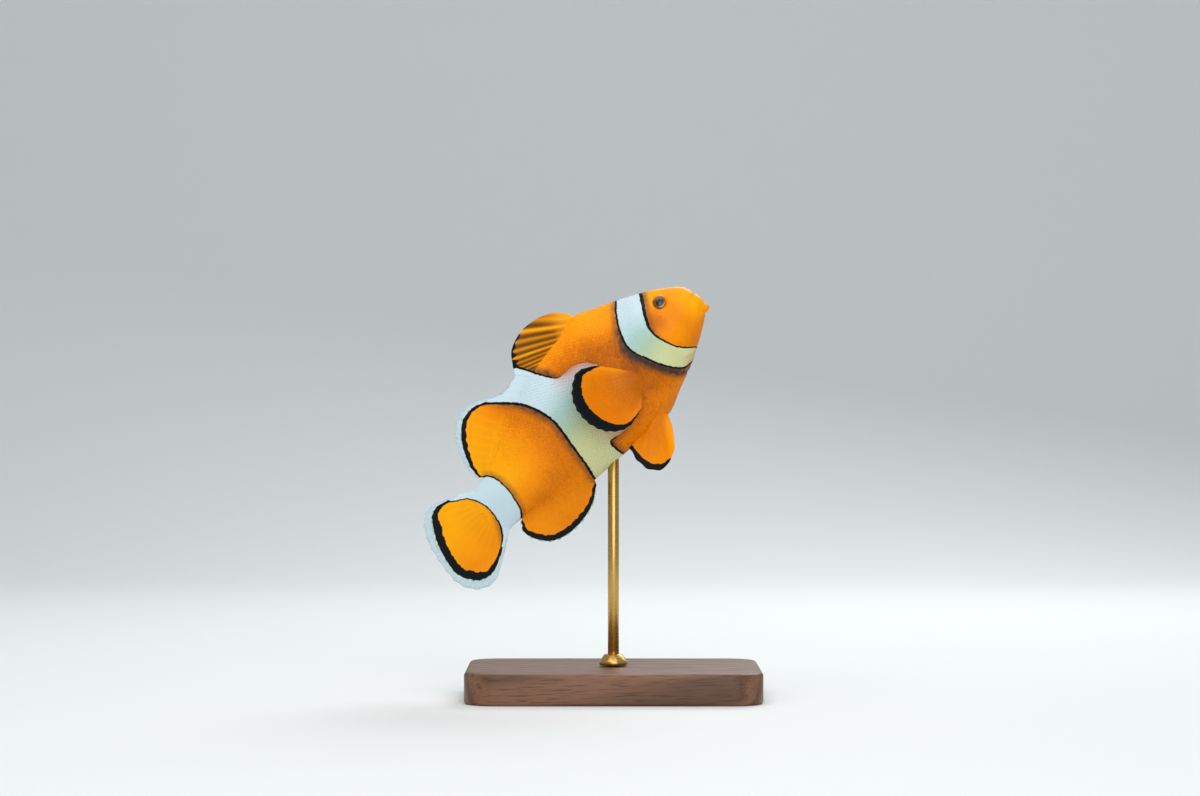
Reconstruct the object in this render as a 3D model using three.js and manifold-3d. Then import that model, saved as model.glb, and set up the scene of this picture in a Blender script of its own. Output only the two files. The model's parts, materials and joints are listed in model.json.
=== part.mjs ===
// A clownfish at life size, swimming nose up, held over a plain display stand by one rod.
// Millimetres, +Z up. The origin is the centre of the stand's underside, on the rod's axis.
//
// The fish is shaped in its own frame: s runs from the tail's edge (0) to the snout, h towards the back
// and w towards its right side. That frame is then pitched and set on the stand as one group.
import * as THREE from "three";
import { mergeVertices } from "three/addons/utils/BufferGeometryUtils.js";
import Module from "manifold-3d";

const wasm = await Module();
wasm.setup();
const { clamp, degToRad, lerp, smoothstep } = THREE.MathUtils;

// ---------- driving dimensions ----------
const GAP = 0.3; // clearance between neighbouring solids
const PITCH = degToRad(45.3); // nose up
const TAIL_SWING = 4.5; // how far the tail is swept to the fish's left
const SWING_START = 52; // the spine is straight ahead of this
const TAIL_HEIGHT = 27.5; // of the fish's frame over the floor
const SIDES = { right: 1, left: -1 };

const BASE = { length: 66, width: 46, thick: 7, corner: 7, bevel: 0.8 };
const ROD = { radius: 1.25, depthInBody: 3.2, depthInBase: 4, sides: 20 };
const COLLAR = { radius: 3.2, topRadius: 2.0, height: 2.4, rim: 1.0, sides: 24 };
const ROD_ENTRY = { s: 45.2, h: -10.2 }; // where the rod meets the belly

// Stations of the body without fins: s, top, bottom, half width.
const BODY_STATIONS = [
  [17.0, 7.7, -3.8, 0.75],
  [22.5, 8.7, -4.3, 2.1],
  [30.0, 13.0, -7.8, 3.7],
  [38.0, 16.3, -9.6, 5.1],
  [46.0, 18.2, -10.2, 6.3],
  [55.0, 19.5, -10.8, 7.1],
  [61.5, 19.8, -11.2, 7.2],
  [68.0, 17.2, -9.0, 7.0],
  [74.0, 14.2, -6.7, 6.2],
  [79.0, 11.4, -4.2, 5.1],
  [82.5, 8.8, -2.1, 4.1],
  [84.4, 7.0, -1.2, 3.1],
  [85.2, 5.3, -1.0, 2.4],
  [85.5, 3.3, -0.6, 1.5],
  [85.55, 1.2, 1.0, 0.0],
];
const WIDEST_AT = 0.47; // height of the greatest width, as a share of the section
const BACK_PINCH = 0.2; // how far the back narrows towards its ridge
const BELLY_PINCH = 0.04;
const BODY_RINGS = 34;
const BODY_SEGMENTS = 28;
const RING_CROWDING = 1.7; // draws the rings towards the snout, where the shape turns fastest

// Where the body is parted, and the line of the gill opening as (h, s) from the nape to the throat.
const REAR_CUT = 41.2;
const PEDUNCLE_CUT = 24.4;
const TAIL_CUT = 18.4;
const GILL_OPENING = [
  [18, 71.6], [13, 69.7], [9, 67.1], [4.5, 65.7],
  [1, 66.4], [-3.5, 69.1], [-6, 71.3], [-10, 73.6],
];
const GILL_COVER = {
  thick: 1.2,
  inner: 1.8, // nearest to the middle plane
  centre: [66, 2],
  outline: [
    [66, 11.6], [69.9, 10.4], [71.6, 8.2], [71.5, 3.6], [72.4, -0.6],
    [74.6, -3.6], [74.3, -5.4], [68, -7], [60, -5], [60, 9],
  ],
};

const MOUTH = { front: [87.5, 1.85], corner: [82.2, -0.35], chin: [80.6, -5] };
const LIP_FORMS = [
  { above: 1.3, half: 1.3, rise: 0.2 }, // upper lip
  { above: -1.4, half: 1.1, rise: 0.25 }, // lower lip
  { above: 2.85, half: 0.55, rise: -0.4 }, // groove over the upper lip
];
const EYE = { s: 78.3, h: 7.95, w: 3.1, radius: 2.1, depth: 1.7, lookForward: 0.3, lookUp: 0.42 };

// Fins: where the rays leave the body and where they end, as pairs of (s, h).
const FIN_ROOT_THICK = 1.5;
const FIN_EDGE_THICK = 0.6;
const SPINY_DORSAL = {
  roots: [[62.6, 18.9], [57.0, 18.8], [51.5, 18.2], [45.7, 17.4]],
  tips: [[62.0, 20.3], [59.6, 22.9], [55.9, 25.0], [51.4, 25.5], [47.4, 24.2], [45.3, 21.8], [43.7, 19.4]],
};
const SOFT_DORSAL = {
  roots: [[45.1, 17.3], [38.5, 15.6], [31.5, 12.9], [26.0, 9.9], [22.9, 8.2]],
  tips: [
    [43.0, 19.2], [39.4, 18.8], [36.2, 20.2], [32.5, 22.1], [28.5, 22.3],
    [25.0, 20.2], [22.6, 16.6], [21.3, 12.6], [21.2, 9.6],
  ],
};
const ANAL = {
  roots: [[40.0, -9.1], [34.4, -8.4], [28.6, -6.4], [23.0, -3.9]],
  tips: [
    [39.2, -10.8], [35.6, -13.3], [31.2, -14.4], [26.6, -14.2],
    [22.8, -12.6], [20.4, -9.3], [19.9, -6.4], [20.9, -4.7],
  ],
};
const CAUDAL = {
  roots: [[18.9, 7.9], [18.1, 5.0], [17.8, 2.0], [18.0, -1.0], [18.8, -3.8]],
  tips: [
    [15.3, 9.8], [11.9, 12.0], [8.3, 12.5], [4.8, 10.3], [2.5, 6.0], [1.0, 0.5],
    [1.1, -4.4], [3.7, -8.5], [8.0, -9.5], [12.4, -7.7], [16.0, -5.2],
  ],
};
const PECTORAL = {
  root: [[62.5, 2.2], [61.2, -3.4]],
  tips: [[58.6, 7.5], [53.5, 9.8], [49.1, 6.6], [47.8, 1.2], [49.3, -3.7], [53.2, -6.6], [58.4, -5.9]],
  rootW: 6.6, // of the root, from the middle plane
  drawnAt: degToRad(33), // the swing at which the tips are given
  swing: { right: degToRad(33), left: degToRad(56) },
  cup: 1.5,
};
const PELVIC = {
  root: [[61.8, -10.4], [58.0, -10.3]],
  tips: [[56.0, -17.9], [52.5, -19.1], [50.1, -17.0], [49.5, -13.6], [50.2, -10.9]],
  rootW: 1.5,
  splay: { right: 2.8, left: 4.2 }, // how far the first ray's tip stands out from its root
  lastSplay: 0.5,
};

const COLOURS = { orange: 0xf08a10, fin: 0xe98410, eye: 0x2a211d, wood: 0x6b4329, brass: 0xb08d57 };

// ---------- curves ----------

// A smooth, non-overshooting curve through points with rising x (Fritsch-Carlson slopes).
function smoothThrough(xs, ys) {
  const last = xs.length - 1;
  const step = xs.slice(1).map((x, i) => x - xs[i]);
  const slope = step.map((d, i) => (ys[i + 1] - ys[i]) / d);
  const tangent = xs.map((_, i) => {
    if (i === 0) return slope[0];
    if (i === last) return slope[last - 1];
    if (slope[i - 1] * slope[i] <= 0) return 0;
    const a = 2 * step[i] + step[i - 1];
    const b = step[i] + 2 * step[i - 1];
    return (a + b) / (a / slope[i - 1] + b / slope[i]);
  });
  return (x) => {
    let i = 0;
    while (i < last - 1 && x > xs[i + 1]) i += 1;
    const t = clamp((x - xs[i]) / step[i], 0, 1);
    const blend = t * t * (3 - 2 * t);
    const bow = tangent[i] * t * (1 - t) ** 2 - tangent[i + 1] * t * t * (1 - t);
    return lerp(ys[i], ys[i + 1], blend) + step[i] * bow;
  };
}

const toVectors = (pairs) => pairs.map(([x, y]) => new THREE.Vector2(x, y));

// A smooth curve through plane points, as a function of 0..1.
function planeCurve(pairs) {
  const curve = new THREE.SplineCurve(toVectors(pairs));
  return (u) => curve.getPointAt(clamp(u, 0, 1));
}

// A straight line between two plane points, as a function of 0..1.
const planeLine = ([a, b]) => (u) => new THREE.Vector2(lerp(a[0], b[0], u), lerp(a[1], b[1], u));

// Sideways sweep of the spine at s.
function sway(s) {
  const back = Math.max(0, (SWING_START - s) / SWING_START);
  return -TAIL_SWING * back * back;
}

// ---------- solids ----------

// A closed solid from points [s, h, w] and faces of point numbers.
function solidFrom(points, faces) {
  const solid = new wasm.Manifold(
    new wasm.Mesh({
      numProp: 3,
      vertProperties: new Float32Array(points.flat()),
      triVerts: new Uint32Array(faces.flat()),
    }),
  );
  if (solid.volume() > 0) return solid;
  return solidFrom(points, faces.map(([a, b, c]) => [a, c, b]));
}

// A three.js geometry as a solid, after moving it by a matrix.
function solidOf(geometry, matrix = new THREE.Matrix4()) {
  const plain = geometry.clone().applyMatrix4(matrix);
  plain.deleteAttribute("normal");
  plain.deleteAttribute("uv");
  const merged = mergeVertices(plain, 1e-4);
  return new wasm.Manifold(
    new wasm.Mesh({
      numProp: 3,
      vertProperties: new Float32Array(merged.attributes.position.array),
      triVerts: new Uint32Array(merged.index.array),
    }),
  );
}

// A plane outline as a solid from one w to another.
function slab(outline, from, to) {
  const block = new THREE.ExtrudeGeometry(new THREE.Shape(outline), { depth: to - from, bevelEnabled: false });
  return solidOf(block, new THREE.Matrix4().makeTranslation(0, 0, from));
}
const FAR = 30; // further out than any part of the fish

// A thin wall, GAP thick, along points of the plane, that runs right through the fish.
function thinCut(pairs) {
  const points = toVectors(pairs);
  const shifted = (sign) =>
    points.map((point, i) => {
      const along = points[Math.min(points.length - 1, i + 1)].clone().sub(points[Math.max(0, i - 1)]);
      return new THREE.Vector2(-along.y, along.x).setLength((sign * GAP) / 2).add(point);
    });
  return slab([...shifted(-1), ...shifted(1).reverse()], -FAR, FAR);
}

// The largest body of a solid, without the slivers that cuts can leave.
function largest(solid) {
  return solid.decompose().reduce((a, b) => (a.volume() > b.volume() ? a : b));
}

// ---------- body ----------

// The station curves run over the distance between stations, so the blunt snout is no steeper than the rest.
const stationAt = [0];
for (let i = 1; i < BODY_STATIONS.length; i += 1) {
  const steps = BODY_STATIONS[i].map((value, k) => value - BODY_STATIONS[i - 1][k]);
  stationAt.push(stationAt[i - 1] + Math.hypot(...steps));
}
const bodyLength = stationAt.at(-1);
const bodyCurves = [0, 1, 2, 3].map((k) => smoothThrough(stationAt, BODY_STATIONS.map((row) => row[k])));

// How far the lips and the groove over them stand out at a point of the snout.
const mouthCorner = new THREE.Vector2(...MOUTH.corner);
const cleft = new THREE.Vector2(...MOUTH.front).sub(mouthCorner).normalize();
function lipRelief(s, h) {
  const fromCorner = new THREE.Vector2(s, h).sub(mouthCorner);
  const taper = smoothstep(fromCorner.dot(cleft), -0.6, 2.4);
  const height = cleft.cross(fromCorner);
  const rises = LIP_FORMS.map(({ above, half, rise }) => {
    const away = (height - above * (0.4 + 0.6 * taper)) / half;
    return rise * Math.max(0, 1 - away * away) ** 2;
  });
  return taper * rises.reduce((a, b) => a + b);
}

// A point of the body's surface without lips, grown outwards by grow.
function plainBodyPoint(along, angle, grow) {
  const [s, top, bottom, half] = bodyCurves.map((curve) => curve(along));
  const middle = lerp(bottom, top, WIDEST_AT);
  const [across, up] = [Math.cos(angle), Math.sin(angle)];
  const reach = up > 0 ? top - middle : middle - bottom;
  const pinch = up > 0 ? BACK_PINCH : BELLY_PINCH;
  const rim = new THREE.Vector2(half * across * (1 - pinch * up * up), reach * up);
  if (rim.length() > 1e-6) rim.setLength(Math.max(0.02, rim.length() + grow));
  return new THREE.Vector3(s, middle + rim.y, rim.x + sway(s));
}

// The same with the lips, which rise along the surface's normal.
function bodyPoint(along, angle, grow) {
  const point = plainBodyPoint(along, angle, grow);
  const relief = lipRelief(point.x, point.y);
  if (Math.abs(relief) < 1e-3) return point.toArray();
  const step = 1e-3;
  const ahead = plainBodyPoint(Math.min(along + step, bodyLength), angle, grow);
  const forward = ahead.sub(plainBodyPoint(along - step, angle, grow));
  const round = plainBodyPoint(along, angle + step, grow).sub(plainBodyPoint(along, angle - step, grow));
  return point.addScaledVector(forward.cross(round).normalize(), relief).toArray();
}

// The whole body without fins, as rings closed by a point at each end.
function bodySolid(grow) {
  const segments = BODY_SEGMENTS;
  const points = [];
  for (let i = 0; i < BODY_RINGS; i += 1) {
    const along = bodyLength * (1 - (1 - i / BODY_RINGS) ** RING_CROWDING);
    for (let j = 0; j < segments; j += 1) points.push(bodyPoint(along, (2 * Math.PI * j) / segments, grow));
  }
  for (const point of points.slice(0, segments)) point[0] -= grow;
  const tail = points.length;
  const nose = tail + 1;
  const tailS = points[0][0];
  const snout = plainBodyPoint(bodyLength, 0, 0);
  points.push([tailS, lerp(BODY_STATIONS[0][1], BODY_STATIONS[0][2], 0.5), sway(tailS)]);
  points.push([snout.x + grow, snout.y, 0]);

  const lastRing = (BODY_RINGS - 1) * segments;
  const faces = [];
  for (let j = 0; j < segments; j += 1) {
    const next = (j + 1) % segments;
    faces.push([tail, next, j], [nose, lastRing + j, lastRing + next]);
    for (let ring = 0; ring < lastRing; ring += segments) {
      const [a, b, c, d] = [ring + j, ring + next, ring + segments + j, ring + segments + next];
      faces.push([a, b, c], [b, d, c]);
    }
  }
  return solidFrom(points, faces);
}

// ---------- fins ----------

// A closed plate round a middle surface of (u, v), u along the root and v from root to edge.
function finPlate(middle, across, along) {
  const step = 1e-3;
  const oneSide = [];
  const otherSide = [];
  for (let i = 0; i <= across; i += 1) {
    for (let j = 0; j <= along; j += 1) {
      const [u, v] = [i / across, j / along];
      const du = middle(Math.min(1, u + step), v).sub(middle(Math.max(0, u - step), v));
      const dv = middle(u, Math.min(1, v + step)).sub(middle(u, Math.max(0, v - step)));
      const thick = lerp(FIN_EDGE_THICK, FIN_ROOT_THICK, (1 - v) ** 2);
      const half = du.cross(dv).setLength(thick / 2);
      oneSide.push(middle(u, v).add(half).toArray());
      otherSide.push(middle(u, v).sub(half).toArray());
    }
  }
  const row = along + 1;
  const count = oneSide.length;
  const faces = [];
  for (let i = 0; i < across; i += 1) {
    for (let j = 0; j < along; j += 1) {
      const [a, b] = [i * row + j, (i + 1) * row + j];
      faces.push([a, b, b + 1], [a, b + 1, a + 1]);
      faces.push([count + a, count + b + 1, count + b], [count + a, count + a + 1, count + b + 1]);
    }
  }
  const rim = [];
  const end = across * row;
  for (let i = 0; i < across; i += 1) {
    const [near, next] = [i * row, (i + 1) * row];
    rim.push([next, near], [near + along, next + along]);
  }
  for (let j = 0; j < along; j += 1) rim.push([j, j + 1], [end + j + 1, end + j]);
  for (const [a, b] of rim) faces.push([a, b, count + b], [a, count + b, count + a]);
  return solidFrom([...oneSide, ...otherSide], faces);
}

// A fin of the middle plane.
function medianFin({ roots, tips }, across = 18, along = 3) {
  const [root, tip] = [planeCurve(roots), planeCurve(tips)];
  const middle = (u, v) => {
    const place = root(u).lerp(tip(u), v);
    return new THREE.Vector3(place.x, place.y, sway(place.x));
  };
  return finPlate(middle, across, along);
}

// A cupped paddle, swung out from the flank about its upright root.
function pectoralFin(name) {
  const { rootW, drawnAt, cup } = PECTORAL;
  const swing = PECTORAL.swing[name];
  const [root, tip] = [planeLine(PECTORAL.root), planeCurve(PECTORAL.tips)];
  const middle = (u, v) => {
    const [from, to] = [root(u), tip(u)];
    const back = ((from.x - to.x) / Math.cos(drawnAt)) * v;
    const out = back * Math.sin(swing) - cup * Math.sin(Math.PI * v) * Math.sin(Math.PI * u);
    const w = SIDES[name] * (rootW + out);
    return new THREE.Vector3(from.x - back * Math.cos(swing), lerp(from.y, to.y, v), w);
  };
  return finPlate(middle, 14, 4);
}

// A fan under the breast, its first ray splayed outwards and its last one along the belly.
function pelvicFin(name) {
  const { rootW, lastSplay } = PELVIC;
  const [root, tip] = [planeLine(PELVIC.root), planeCurve(PELVIC.tips)];
  const middle = (u, v) => {
    const place = root(u).lerp(tip(u), v);
    const w = SIDES[name] * (rootW + v * lerp(PELVIC.splay[name], lastSplay, u));
    return new THREE.Vector3(place.x, place.y, w);
  };
  return finPlate(middle, 12, 3);
}

// ---------- the fish on its rod ----------
const clownfish = new THREE.Group();
const fish = new THREE.Group();
const stand = new THREE.Group();
clownfish.add(fish, stand);

const towardsSnout = new THREE.Vector3(Math.cos(PITCH), 0, Math.sin(PITCH));
const towardsBack = new THREE.Vector3(-Math.sin(PITCH), 0, Math.cos(PITCH));
const towardsRight = new THREE.Vector3(0, -1, 0);
const entry = towardsSnout.clone().multiplyScalar(ROD_ENTRY.s).addScaledVector(towardsBack, ROD_ENTRY.h);
fish.setRotationFromMatrix(new THREE.Matrix4().makeBasis(towardsSnout, towardsBack, towardsRight));
fish.position.set(-entry.x, sway(ROD_ENTRY.s), TAIL_HEIGHT);
fish.updateMatrix();

const rodTop = TAIL_HEIGHT + entry.z + ROD.depthInBody;
const socketFloor = BASE.thick - ROD.depthInBase;
function roundBar(radius, from, to) {
  const bar = new THREE.CylinderGeometry(radius, radius, to - from, ROD.sides);
  return bar.rotateX(Math.PI / 2).translate(0, 0, (from + to) / 2);
}
const intoFish = fish.matrix.clone().invert();
const bore = solidOf(roundBar(ROD.radius + GAP, BASE.thick, rodTop + GAP), intoFish);

// ---------- cutting the body into its parts ----------
const gillLine = smoothThrough(GILL_OPENING.map(([h]) => -h), GILL_OPENING.map(([, s]) => s));
const gillHeights = Array.from({ length: 15 }, (_, i) => 22 - 2.5 * i);
const bodyCuts = [
  thinCut(gillHeights.map((h) => [gillLine(-h), h])),
  ...[REAR_CUT, PEDUNCLE_CUT, TAIL_CUT].map((s) => thinCut([[s, FAR], [s, -FAR]])),
];
const wholeBody = bodySolid(0).subtract(bore);
const lengths = bodyCuts.reduce((solid, cut) => solid.subtract(cut), wholeBody).decompose();
lengths.sort((a, b) => a.boundingBox().min[0] - b.boundingBox().min[0]);
const [tailRoot, peduncle, rearBody, trunk, headBlock] = lengths;

// Gill covers: thin plates let into the head behind the cheek.
function coverRegion(side, grow) {
  const centre = new THREE.Vector2(...GILL_COVER.centre);
  const points = new THREE.SplineCurve(toVectors(GILL_COVER.outline)).getPoints(27);
  const grown = points.map((point) => point.clone().sub(centre).setLength(grow).add(point));
  const near = GILL_COVER.inner - grow;
  return side > 0 ? slab(grown, near, FAR) : slab(grown, -FAR, -near);
}
const underCover = bodySolid(-GILL_COVER.thick);
const pocketFloor = bodySolid(-GILL_COVER.thick - GAP);
const gillCover = (side) => largest(headBlock.intersect(coverRegion(side, 0)).subtract(underCover));
const coverPocket = (side) => coverRegion(side, GAP).subtract(pocketFloor);

// Eyes are flattened balls that look outwards, a little forward and up.
function eyeBall(side, grow) {
  const look = new THREE.Vector3(EYE.lookForward, EYE.lookUp, side).normalize();
  const turn = new THREE.Quaternion().setFromUnitVectors(new THREE.Vector3(0, 0, 1), look);
  const size = new THREE.Vector3(EYE.radius + grow, EYE.radius + grow, EYE.depth + grow);
  const place = new THREE.Matrix4().compose(new THREE.Vector3(EYE.s, EYE.h, side * EYE.w), turn, size);
  return solidOf(new THREE.SphereGeometry(1, 14, 10), place);
}

// The head keeps sockets and pockets, and is parted from the lower jaw along the mouth and behind the chin.
const jawCut = thinCut([MOUTH.front, MOUTH.corner, MOUTH.chin]);
const headCuts = [jawCut, ...[1, -1].flatMap((side) => [coverPocket(side), eyeBall(side, GAP)])];
const headParts = headCuts.reduce((solid, cut) => solid.subtract(cut), headBlock).decompose();
headParts.sort((a, b) => b.volume() - a.volume());
const [head, lowerJaw] = headParts;

const clearOfBody = bodySolid(GAP);
const offBody = (fin) => largest(fin.subtract(clearOfBody));
const tailEdge = TAIL_CUT - GAP / 2;
const behindTailEdge = toVectors([[-FAR, -FAR], [tailEdge, -FAR], [tailEdge, FAR], [-FAR, FAR]]);
const caudalFin = largest(medianFin(CAUDAL, 24, 4).add(tailRoot).intersect(slab(behindTailEdge, -FAR, FAR)));

// ---------- stand ----------

// A round-cornered slab with bevelled edges.
function plinth({ length, width, thick, corner, bevel }) {
  const [x, y] = [length / 2 - corner, width / 2 - corner];
  const radius = corner - bevel;
  const outline = new THREE.Shape();
  const corners = [[x, -y], [x, y], [-x, y], [-x, -y]];
  corners.forEach(([cx, cy], i) => {
    outline.absarc(cx, cy, radius, ((i - 1) * Math.PI) / 2, (i * Math.PI) / 2);
  });
  const edges = { bevelThickness: bevel, bevelSize: bevel, bevelSegments: 2, curveSegments: 4 };
  return new THREE.ExtrudeGeometry(outline, { depth: thick - 2 * bevel, ...edges }).translate(0, 0, bevel);
}
const rodSocket = solidOf(roundBar(ROD.radius + GAP, socketFloor, BASE.thick + 1));

const collarBore = ROD.radius + GAP;
const collarProfile = toVectors([
  [collarBore, 0],
  [COLLAR.radius, 0],
  [COLLAR.radius, COLLAR.rim],
  [COLLAR.topRadius, COLLAR.height],
  [collarBore, COLLAR.height],
  [collarBore, 0],
]);
const collar = new THREE.LatheGeometry(collarProfile, COLLAR.sides);
collar.rotateX(Math.PI / 2).translate(0, 0, BASE.thick + GAP);

// ---------- assembly ----------
function addSolid(group, name, solid, finish) {
  const mesh = solid.getMesh();
  const geometry = new THREE.BufferGeometry();
  geometry.setAttribute("position", new THREE.BufferAttribute(new Float32Array(mesh.vertProperties), 3));
  geometry.setIndex(new THREE.BufferAttribute(new Uint32Array(mesh.triVerts), 1));
  geometry.computeVertexNormals();
  const made = new THREE.Mesh(geometry, finish);
  made.name = name;
  group.add(made);
}

const bodySkin = new THREE.MeshStandardMaterial({ color: COLOURS.orange, roughness: 0.45, metalness: 0 });
const finSkin = new THREE.MeshStandardMaterial({ color: COLOURS.fin, roughness: 0.5, metalness: 0 });
const eyeGloss = new THREE.MeshStandardMaterial({ color: COLOURS.eye, roughness: 0.1, metalness: 0 });
const wood = new THREE.MeshStandardMaterial({ color: COLOURS.wood, roughness: 0.5, metalness: 0 });
const brass = new THREE.MeshStandardMaterial({ color: COLOURS.brass, roughness: 0.3, metalness: 1 });

addSolid(fish, "head", head, bodySkin);
addSolid(fish, "lower_jaw", lowerJaw, bodySkin);
addSolid(fish, "trunk", trunk, bodySkin);
addSolid(fish, "rear_body", rearBody, bodySkin);
addSolid(fish, "caudal_peduncle", peduncle, bodySkin);
addSolid(fish, "caudal_fin", caudalFin, finSkin);
addSolid(fish, "dorsal_fin_spiny", offBody(medianFin(SPINY_DORSAL)), finSkin);
addSolid(fish, "dorsal_fin_soft", offBody(medianFin(SOFT_DORSAL)), finSkin);
addSolid(fish, "anal_fin", offBody(medianFin(ANAL)), finSkin);
for (const [name, side] of Object.entries(SIDES)) {
  addSolid(fish, `gill_cover_${name}`, gillCover(side), bodySkin);
  addSolid(fish, `eye_${name}`, eyeBall(side, 0), eyeGloss);
  addSolid(fish, `pectoral_fin_${name}`, offBody(pectoralFin(name)), finSkin);
  addSolid(fish, `pelvic_fin_${name}`, offBody(pelvicFin(name)), finSkin);
}
addSolid(stand, "stand_base", solidOf(plinth(BASE)).subtract(rodSocket), wood);
addSolid(stand, "stand_collar", solidOf(collar), brass);
addSolid(stand, "stand_rod", solidOf(roundBar(ROD.radius, socketFloor + GAP, rodTop)), brass);

export default clownfish;
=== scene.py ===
import json
import math

import bpy
import numpy as np
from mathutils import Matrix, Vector

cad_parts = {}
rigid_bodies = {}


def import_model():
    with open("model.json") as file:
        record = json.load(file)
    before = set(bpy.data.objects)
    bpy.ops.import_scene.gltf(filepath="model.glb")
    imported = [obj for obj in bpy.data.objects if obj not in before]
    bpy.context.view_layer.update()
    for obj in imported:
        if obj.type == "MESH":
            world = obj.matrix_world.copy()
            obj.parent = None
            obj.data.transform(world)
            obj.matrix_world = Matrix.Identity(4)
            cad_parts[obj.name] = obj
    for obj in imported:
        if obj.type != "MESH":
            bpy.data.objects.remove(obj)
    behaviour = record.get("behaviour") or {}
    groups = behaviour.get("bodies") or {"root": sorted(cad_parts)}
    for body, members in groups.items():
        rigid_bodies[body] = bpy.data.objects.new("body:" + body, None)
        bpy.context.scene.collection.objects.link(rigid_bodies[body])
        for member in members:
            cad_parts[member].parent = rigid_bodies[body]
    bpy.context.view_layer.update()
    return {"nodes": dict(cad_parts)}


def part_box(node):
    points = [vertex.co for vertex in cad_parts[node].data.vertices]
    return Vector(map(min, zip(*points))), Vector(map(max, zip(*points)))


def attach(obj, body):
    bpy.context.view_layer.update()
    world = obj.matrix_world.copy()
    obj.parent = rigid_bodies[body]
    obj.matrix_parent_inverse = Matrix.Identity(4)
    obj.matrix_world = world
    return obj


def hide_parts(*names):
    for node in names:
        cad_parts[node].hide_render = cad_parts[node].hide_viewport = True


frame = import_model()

# A life-size clownfish on a display stand. Shapes are worked out in millimetres and put into the meshes
# in metres. The fish has its own frame: s from the tail's edge (0) to the snout, h towards the back, w
# towards its right side.
mm = 0.001
scene = bpy.context.scene
chance = np.random.default_rng(23)

pose = {
    "pitch": math.radians(45.3),  # nose up
    "tailSwing": 4.5,  # how far the tail's edge is swept to the fish's left
    "swingStart": 52.0,  # the spine is straight ahead of this s
    "tailHeight": 27.5,  # of the fish frame's origin over the floor
    "rodEntry": (45.2, -10.2),  # s and h where the rod meets the belly, over the stand's middle
}


# Small tools.

def smoothstep(low, high, x):
    # 0 up to low, 1 from high on, and 3t^2 - 2t^3 of the share t in between
    t = np.clip((x - low) / (high - low), 0, 1)
    return t * t * (3 - 2 * t)


def hump(x, centre, half):
    # (1 - t^2)^2 of the distance t from the centre in half widths, and 0 outside
    return np.maximum(0, 1 - ((x - centre) / half) ** 2) ** 2


def within(x, ends):
    # 1 inside a span and 0 outside: it starts to count from the first end to the second, and stops from
    # the third on
    return smoothstep(ends[0], ends[1], x) * (1 - smoothstep(ends[2], ends[3], x))


def ridge(x, form):
    # a hump of a height, about a centre, by its half width
    height, centre, half = form
    return height * hump(x, centre, half)


def smoothThrough(xs, ys):
    # a cubic between each two points, whose slopes are a harmonic mean of the chords beside them
    # (Fritsch-Carlson)
    xs, ys = np.array(xs, float), np.array(ys, float)
    step = np.diff(xs)
    chord = np.diff(ys) / step
    before, after = chord[:-1], chord[1:]
    a, b = 2 * step[1:] + step[:-1], step[1:] + 2 * step[:-1]
    turns = before * after <= 0
    before, after = np.where(turns, 1, before), np.where(turns, 1, after)
    inner = np.where(turns, 0, (a + b) / (a / before + b / after))
    slope = np.concatenate([chord[:1], inner, chord[-1:]])

    def at(x):
        i = np.clip(np.searchsorted(xs, x) - 1, 0, len(step) - 1)
        t = np.clip((x - xs[i]) / step[i], 0, 1)
        bow = slope[i] * t * (1 - t) ** 2 - slope[i + 1] * t * t * (1 - t)
        return ys[i] + (ys[i + 1] - ys[i]) * t * t * (3 - 2 * t) + step[i] * bow

    return at


def splineThrough(points, closed=False, perStep=40):
    # a Catmull-Rom spline: a cubic between each two points, whose end slopes are half the chord over both
    # neighbours
    p = np.array(points, float)
    p = np.vstack([p[-1:], p, p[:2]]) if closed else np.vstack([p[:1], p, p[-1:]])
    spans = len(p) - 3
    t = np.linspace(0, spans, perStep * spans + 1)
    i = np.minimum(t.astype(int), spans - 1)
    f = (t - i)[:, None]
    a, b, c, d = (p[i + k] for k in range(4))
    square, cube = 2 * a - 5 * b + 4 * c - d, 3 * b - a - 3 * c + d
    return 0.5 * (2 * b + (c - a) * f + square * f**2 + cube * f**3)


def evenly(curve):
    # the curve as a function of 0..1 that runs along it at an even speed
    length = np.concatenate([[0], np.cumsum(np.linalg.norm(np.diff(curve[:, :2], axis=0), axis=1))])
    share = length / length[-1]
    return lambda u: np.stack([np.interp(u, share, curve[:, k]) for k in range(curve.shape[1])], -1)


def sway(s):
    # the spine's sideways sweep: the square of the distance behind the swing's start
    return -pose["tailSwing"] * np.maximum(0, (pose["swingStart"] - s) / pose["swingStart"]) ** 2


def toWorld(points):
    # turns (s, h, w) about the rod's entry by the pitch, and lays w along -Y
    cosP, sinP = math.cos(pose["pitch"]), math.sin(pose["pitch"])
    s, h = points[..., 0], points[..., 1]
    entryS, entryH = pose["rodEntry"]
    x = s * cosP - h * sinP - (entryS * cosP - entryH * sinP)
    y = sway(np.float64(entryS)) - points[..., 2] - sway(s)
    z = pose["tailHeight"] + s * sinP + h * cosP
    return np.stack([x, y, z], -1) * mm


def linear(hexColour):
    # sRGB hex to the linear red, green, blue and alpha that a shader takes
    channels = [int(hexColour[k:k + 2], 16) / 255 for k in (1, 3, 5)]
    return (*[c / 12.92 if c <= 0.04045 else ((c + 0.055) / 1.055) ** 2.4 for c in channels], 1.0)


def feed(tree, node, inputs):
    # for each input of a node, a value or the output that feeds it
    for key, value in inputs.items():
        if isinstance(value, bpy.types.NodeSocket):
            tree.links.new(value, node.inputs[key])
        else:
            node.inputs[key].default_value = value


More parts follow.
